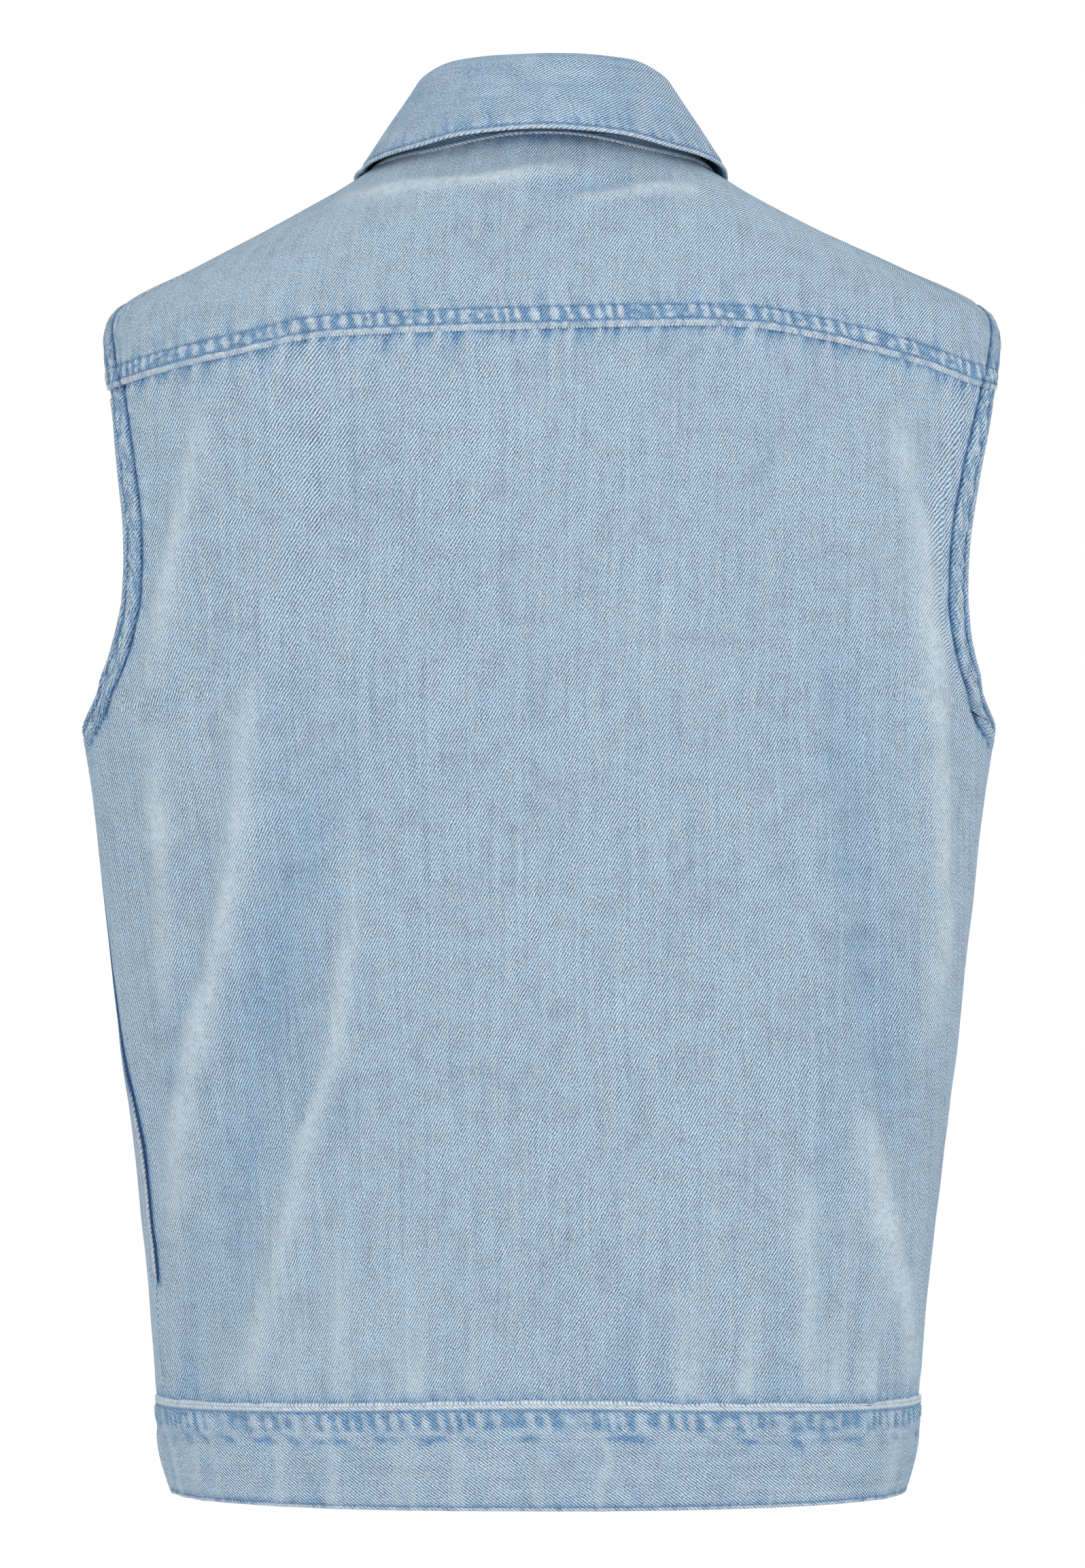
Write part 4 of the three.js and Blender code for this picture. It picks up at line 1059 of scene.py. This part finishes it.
def makeStand():
    shares = np.linspace(-1, 1, 241)
    rows = stops((-0.16, 0, 8), (0, 1, 16))
    share, t = np.meshgrid(shares, rows)
    part, side = np.abs(share), np.where(share < 0, -1.0, 1.0)
    angle = side * np.radians(foldAt["Deg"](part))
    neckZ = seamAt["neck"](np.abs(np.degrees(angle)))
    seam = plainForm(angle, neckZ) + formNormal(angle, neckZ) * 1.0
    fold = fromAxis(angle, foldAt["Out"](part) - 0.8, foldAt["Z"](part) - 0.3)
    outwards = unit(np.stack([np.sin(angle), np.cos(angle), 0.25 + 0 * angle], axis=-1))
    up = np.clip(t, 0, 1)[..., None]
    points = seam * (1 - up) + fold * up - outwards * np.sin(math.pi * up)
    skirt = 1.0 + 6.0 * smooth(np.abs(np.degrees(angle)), 5, 50)  # the strip that shows under the collar
    onYoke = plainForm(angle, neckZ + skirt * np.clip(t, -0.16, 0) / 0.16) + formNormal(angle, neckZ) * 2.0
    points = np.where(t[..., None] < 0, onYoke, points)
    look = newLook(points)
    away = fromLine(points, lineThrough(points[0]))[0]
    rollEdge(look, away, 0.9, 0.8)
    sewRow(look, away, 2.2, 0.3)
    piece = makeCloth("collar_stand_cloth", points, look, collar["standThick"], collarDenim,
                             points * [1, 1, 0] / 80 + [0, 0, 0.4], 0.0, (300, 1700))[0]
    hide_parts("collar_stand")


leafCloth = makeLeaf()
makeStand()
print("collar ready")


# Plackets and pocket mouths
placket = {"thick": 1.5, "topFace": 2.2, "columns": 34, "rows": 330, "row": 4.0, "flatleft": (0.037, 0.513),
           "flatright": (0.031, 0.513)}


def makePlacket(side, fromX, toX, outerFace):
    columns, rows = [np.linspace(low, high, placket[key] + 1)
                     for low, high, key in ((fromX, toX, "columns"), (0, 1, "rows"))]
    x, t = np.meshgrid(columns, rows)
    z = levels["waistSeam"] - 1 + (float(seamAt["neck"](180)) - levels["waistSeam"]) * t
    points = onForm(onFront(x, z), z)[0]
    look = newLook(points)
    for edge in (fromX, toX):
        away = np.abs(x - edge)
        rollEdge(look, away, 1.0)
        sewRow(look, away, placket["row"])
        ropeBetween(look, away, z, 0.5, placket["row"], 6, 71, 0.5)
    ropeBeyond(look, np.abs(z - levels["waistSeam"]), x, 0, 8, 7, 73, 0.5)
    piece, cloth = makeCloth("placket_cloth_" + side, points, look, placket["thick"], bodyDenim,
                             points * [1, 1, 0], outerFace, (700, 300))
    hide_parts("placket_" + side)
    return cloth


def makePocketMouth(side, sign):
    across, t = np.meshgrid(stops((0, 0.2, 5), (0.2, 0.85, 6), (0.85, 1, 4)), np.linspace(0, 1, 121))
    z = pocket["bottom"] + (pocket["top"] - pocket["bottom"]) * t
    aside = pocket["gap"] + (pocket["wide"] - pocket["gap"]) * across
    angle = sign * (sideSeamAngle(side, z) + aside / ringAt["side"](z))
    points = onForm(angle, z)[0]
    look = newLook(points)
    away = aside - pocket["gap"]
    ends = np.minimum(t, 1 - t) * (pocket["top"] - pocket["bottom"])
    rollEdge(look, away, 1.3, 0.45)
    rollEdge(look, pocket["wide"] - aside, 0.9, 0.4)
    sewRow(look, away, pocket["row"], 0.35)
    ropeBetween(look, away, z, 0.5, pocket["row"], 7, 33, 0.15)
    opened = smooth(z, pocket["closedBelow"], pocket["openAbove"])
    look["pale"] += 0.3
    # painted shadow along the lip where the mouth stands open, with its worn pale taken off there
    look["deep"] += 0.9 * bump(away, 3) * opened
    look["dark"] += 0.8 * bump(away, 2) * opened
    look["pale"] *= 1 - 0.8 * opened
    look["lift"] += (0.5 * np.sin(math.pi * t) - 0.5 * opened) * (1 - across) - 0.7 * bump(ends, 5)
    piece = makeCloth("pocket_mouth_cloth_" + side.lower(), points, look, pocket["thick"], bodyDenim,
                             points * [1, 1, 0], pocket["outer"], (200, 900))[0]
    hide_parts("pocket_mouth_" + side.lower())


placketLeft = makePlacket("left", levels["placketHalf"], -levels["placketHalf"], placket["topFace"])
makePlacket("right", levels["tuckedEdge"] - 0.3, -levels["placketHalf"] + 0.3, 0.0)
makePocketMouth("Left", 1)
makePocketMouth("Right", -1)
print("plackets and pocket mouths ready")


# Buttons
button = {"top": -88, "step": 102.4, "count": 6, "steps": 28}


def spotOn(angle, z, lift):  # a place raised off the form, and the way it faces
    normal = Vector(formNormal(angle, z)[0])
    return Vector(onForm(angle, z)[0][0]) + normal * lift, normal


def makeButton(number):
    z = button["top"] - (number - 1) * button["step"]
    onBand = number == button["count"]
    lift = (band["outer"] + band["lap"] if onBand else placket["topFace"]) + 0.25
    profile = [(0.001, 0), (3.4, 0), (3.4, 1.2), (7.6, 1.3), (8.4, 1.8), (8.5, 2.4), (8.1, 3.1), (7.3, 3.4),
               (6.4, 3.1), (5.9, 2.8), (3.2, 2.95), (2.6, 3.3), (1.8, 3.5), (0.001, 3.55)]
    bm = bmesh.new()
    ring = [bm.verts.new((r * mm, 0, h * mm)) for r, h in profile]
    for a, b in zip(ring, ring[1:]):
        bm.edges.new((a, b))
    bmesh.ops.spin(bm, geom=list(bm.verts) + list(bm.edges), cent=(0, 0, 0), axis=(0, 0, 1), dvec=(0, 0, 0),
                   angle=2 * math.pi, steps=button["steps"], use_merge=True)
    bmesh.ops.remove_doubles(bm, verts=bm.verts, dist=2e-6)
    bmesh.ops.recalc_face_normals(bm, faces=bm.faces)
    seat, normal = spotOn(np.array([math.pi]), np.array([float(z)]), lift)
    turn = normal.to_track_quat("Z", "Y").to_matrix().to_4x4()
    bmesh.ops.transform(bm, matrix=Matrix.Translation(seat * mm) @ turn, verts=bm.verts)
    piece = addPiece(meshFrom("button_" + str(number) + "_metal", bm), metalFinish)
    rounded = piece.modifiers.new("rounded", "SUBSURF")
    rounded.levels = rounded.render_levels = 1
    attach(piece, "root")
    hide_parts("button_" + str(number))


for number in range(1, button["count"] + 1):
    makeButton(number)
print("buttons ready")


# Stitches, each a short thread laid in its furrow
def stitchSeats(cloth, line, away, inward=1.0, off=0.0):  # where the stitches of one row lie on a piece
    points, placed, normals = [cloth[key].reshape(-1, 3) for key in ("points", "placed", "normals")]
    places = np.arange(sewing["stitchPitch"] * 0.5, line["along"][-1], sewing["stitchPitch"])
    target, ahead = [
        np.stack([np.interp(where, line["along"], line["points"][:, k]) for k in range(3)], axis=1)
        for where in (places, places + 1)]
    ahead = ahead - target
    square = (points ** 2).sum(axis=1)
    seats = []
    for k in range(3):  # the first pass moves the row off its line, as the cloth slopes there
        nearest = np.concatenate([(square[None, :] - 2 * part @ points.T).argmin(axis=1)
                                  for part in np.array_split(target, max(1, len(target) // 60))])
        if k == 0:
            aside = unit(np.cross(normals[nearest], ahead)) * inward
            target = target + aside * away
    gap = target - points[nearest]
    gap -= (gap * normals[nearest]).sum(axis=1, keepdims=True) * normals[nearest]
    onPiece = np.linalg.norm(gap, axis=1) < sewing["reach"]
    for seat, up, ahead_, keep in zip(placed[nearest] + gap, normals[nearest], ahead, onPiece):
        if keep:
            forward = Vector(ahead_).normalized()
            side = Vector(up).cross(forward).normalized()
            turn = Matrix((forward, side, forward.cross(side))).transposed().to_4x4()
            seats.append(Matrix.Translation((Vector(seat) + Vector(up) * off) * mm) @ turn)
    return seats


def makeStitches(name, seats, finish, long=sewing["stitchLong"]):
    thick = sewing["thread"] / 2 * mm
    size = Matrix.Diagonal((long / 2 * mm, thick, thick, 1))
    whole = bmesh.new()
    for first in range(0, len(seats), 40):
        part = bmesh.new()
        for seat in seats[first:first + 40]:
            bmesh.ops.create_uvsphere(part, u_segments=6, v_segments=4, radius=1, matrix=seat @ size)
        lot = meshFrom("stitchLot", part)
        whole.from_mesh(lot)
        bpy.data.meshes.remove(lot)
    piece = addPiece(meshFrom(name, whole), finish)
    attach(piece, "root")
    print(name, len(seats), "stitches")


seats = [seat for row in yokeRows for seat in stitchSeats(yokeCloth, lines["yokeSeam"], row, -1)]
for side, inward in (("Left", -1), ("Right", 1)):
    seam = lines["frontSeam" + side]
    seats += [seat for row in yokeRows for seat in stitchSeats(yokeCloth, seam, row, inward)]
makeStitches("yoke_stitches", seats, threadFinish)
seats = stitchSeats(bandCloth, lines["waistSeam"], sewing["edgeRow"], 1)
seats += stitchSeats(bandCloth, lines["hem"], sewing["hemRow"], -1)
makeStitches("waistband_stitches", seats, threadFinish)
for side, inward, frontCloth in (("Left", -1, frontLeft), ("Right", 1, frontRight)):
    seats = [seat for row in sewing["armholeRows"] for cloth in (backCloth, yokeCloth, frontCloth)
             for seat in stitchSeats(cloth, lines["armhole" + side], row, inward, -0.1)]
    makeStitches("armhole_stitches_" + side.lower(), seats, darkThreadFinish)
seats = stitchSeats(leafCloth, leafCloth["edgeLine"], sewing["collarRow"], -1)
for endLine, inward in zip(leafCloth["endLines"], (-1, 1)):
    seats += stitchSeats(leafCloth, endLine, sewing["collarRow"], inward)
makeStitches("collar_stitches", seats, threadFinish)


# Placket rows, and a worked buttonhole behind each button
buttonhole = {"from": -3.0, "to": 13.5, "half": 1.5, "pitch": 0.85, "long": 2.2}


def placketSeats():
    zs = np.linspace(levels["waistSeam"], float(seamAt["neck"](180)) - 2, 300)
    found = []
    for x in (levels["placketHalf"] - placket["row"], placket["row"] - levels["placketHalf"]):
        xs = np.full(300, x)
        row = lineThrough(onForm(onFront(xs, zs), zs)[0])
        found += stitchSeats(placketLeft, row, 0.0)
    return found


def buttonholeSeats(number):
    z0 = button["top"] - (number - 1) * button["step"]
    lift = band["outer"] + band["lap"] if number == button["count"] else placket["topFace"]
    places = []
    for x in np.arange(buttonhole["from"], buttonhole["to"], buttonhole["pitch"]):
        places += [(x, z0 + buttonhole["half"], 90), (x, z0 - buttonhole["half"], 90)]
    for end in (buttonhole["from"] - 0.8, buttonhole["to"] + 0.8):
        places += [(end, z0 + rise, 0) for rise in (-1, 0, 1)]
    found = []
    for x, z, turned in places:
        x, z = np.array([x]), np.array([z])
        seat, normal = spotOn(onFront(x, z), z, lift + 0.05)
        upward = (Vector((0, 0, 1)) - normal * normal.z).normalized()
        level = upward.cross(normal)
        forward = upward if turned else level
        turn = Matrix((forward, normal.cross(forward), normal)).transposed().to_4x4()
        found.append(Matrix.Translation(seat * mm) @ turn)
    return found


makeStitches("placket_stitches", placketSeats(), threadFinish)
seats = [seat for number in range(1, button["count"] + 1) for seat in buttonholeSeats(number)]
makeStitches("buttonhole_stitches", seats, darkThreadFinish, long=buttonhole["long"])
print("stitches ready")


# Studio: white all round, a pale floor under the hung vest, and soft lights
studio = {"floorZ": -1.35, "floorSize": 9.0, "white": 1.0, "lit": 0.76, "key": 20.0, "fill": 8.0}


def addStudio():
    bm = bmesh.new()
    bmesh.ops.create_grid(bm, x_segments=2, y_segments=2, size=studio["floorSize"] / 2)
    mesh = meshFrom("floor", bm)
    floor = bpy.data.objects.new("floor", mesh)
    floor.location = (0, 0, studio["floorZ"])
    desk = NodeDesk("paleFloor")
    desk.shader.inputs["Base Color"].default_value = (0.85, 0.85, 0.85, 1)
    desk.shader.inputs["Roughness"].default_value = 0.9
    mesh.materials.append(desk.material)
    scene.collection.objects.link(floor)
    world = bpy.data.worlds.new("whiteStudio")
    world.use_nodes = True
    tree = world.node_tree
    tree.nodes["Background"].inputs[0].default_value = (1, 1, 1, 1)
    seen = tree.nodes.new("ShaderNodeLightPath")  # white where it is seen, and softer where it only lights
    strength = tree.nodes.new("ShaderNodeMapRange")
    strength.inputs["To Min"].default_value = studio["lit"]
    strength.inputs["To Max"].default_value = studio["white"]
    tree.links.new(seen.outputs["Is Camera Ray"], strength.inputs["Value"])
    tree.links.new(strength.outputs[0], tree.nodes["Background"].inputs[1])
    scene.world = world
    for name, place, power, size in (("key", (-1.5, 2.6, 1.2), studio["key"], 1.4),
                                     ("fill", (1.9, 2.4, -0.2), studio["fill"], 1.8)):
        data = bpy.data.lights.new(name, "AREA")
        data.energy, data.size = power, size
        lamp = bpy.data.objects.new(name, data)
        lamp.location = place
        lamp.rotation_euler = (Vector((0, 0, -0.3)) - Vector(place)).to_track_quat("-Z", "Y").to_euler()
        scene.collection.objects.link(lamp)
    scene.view_settings.view_transform = "Standard"


addStudio()
print("studio ready")
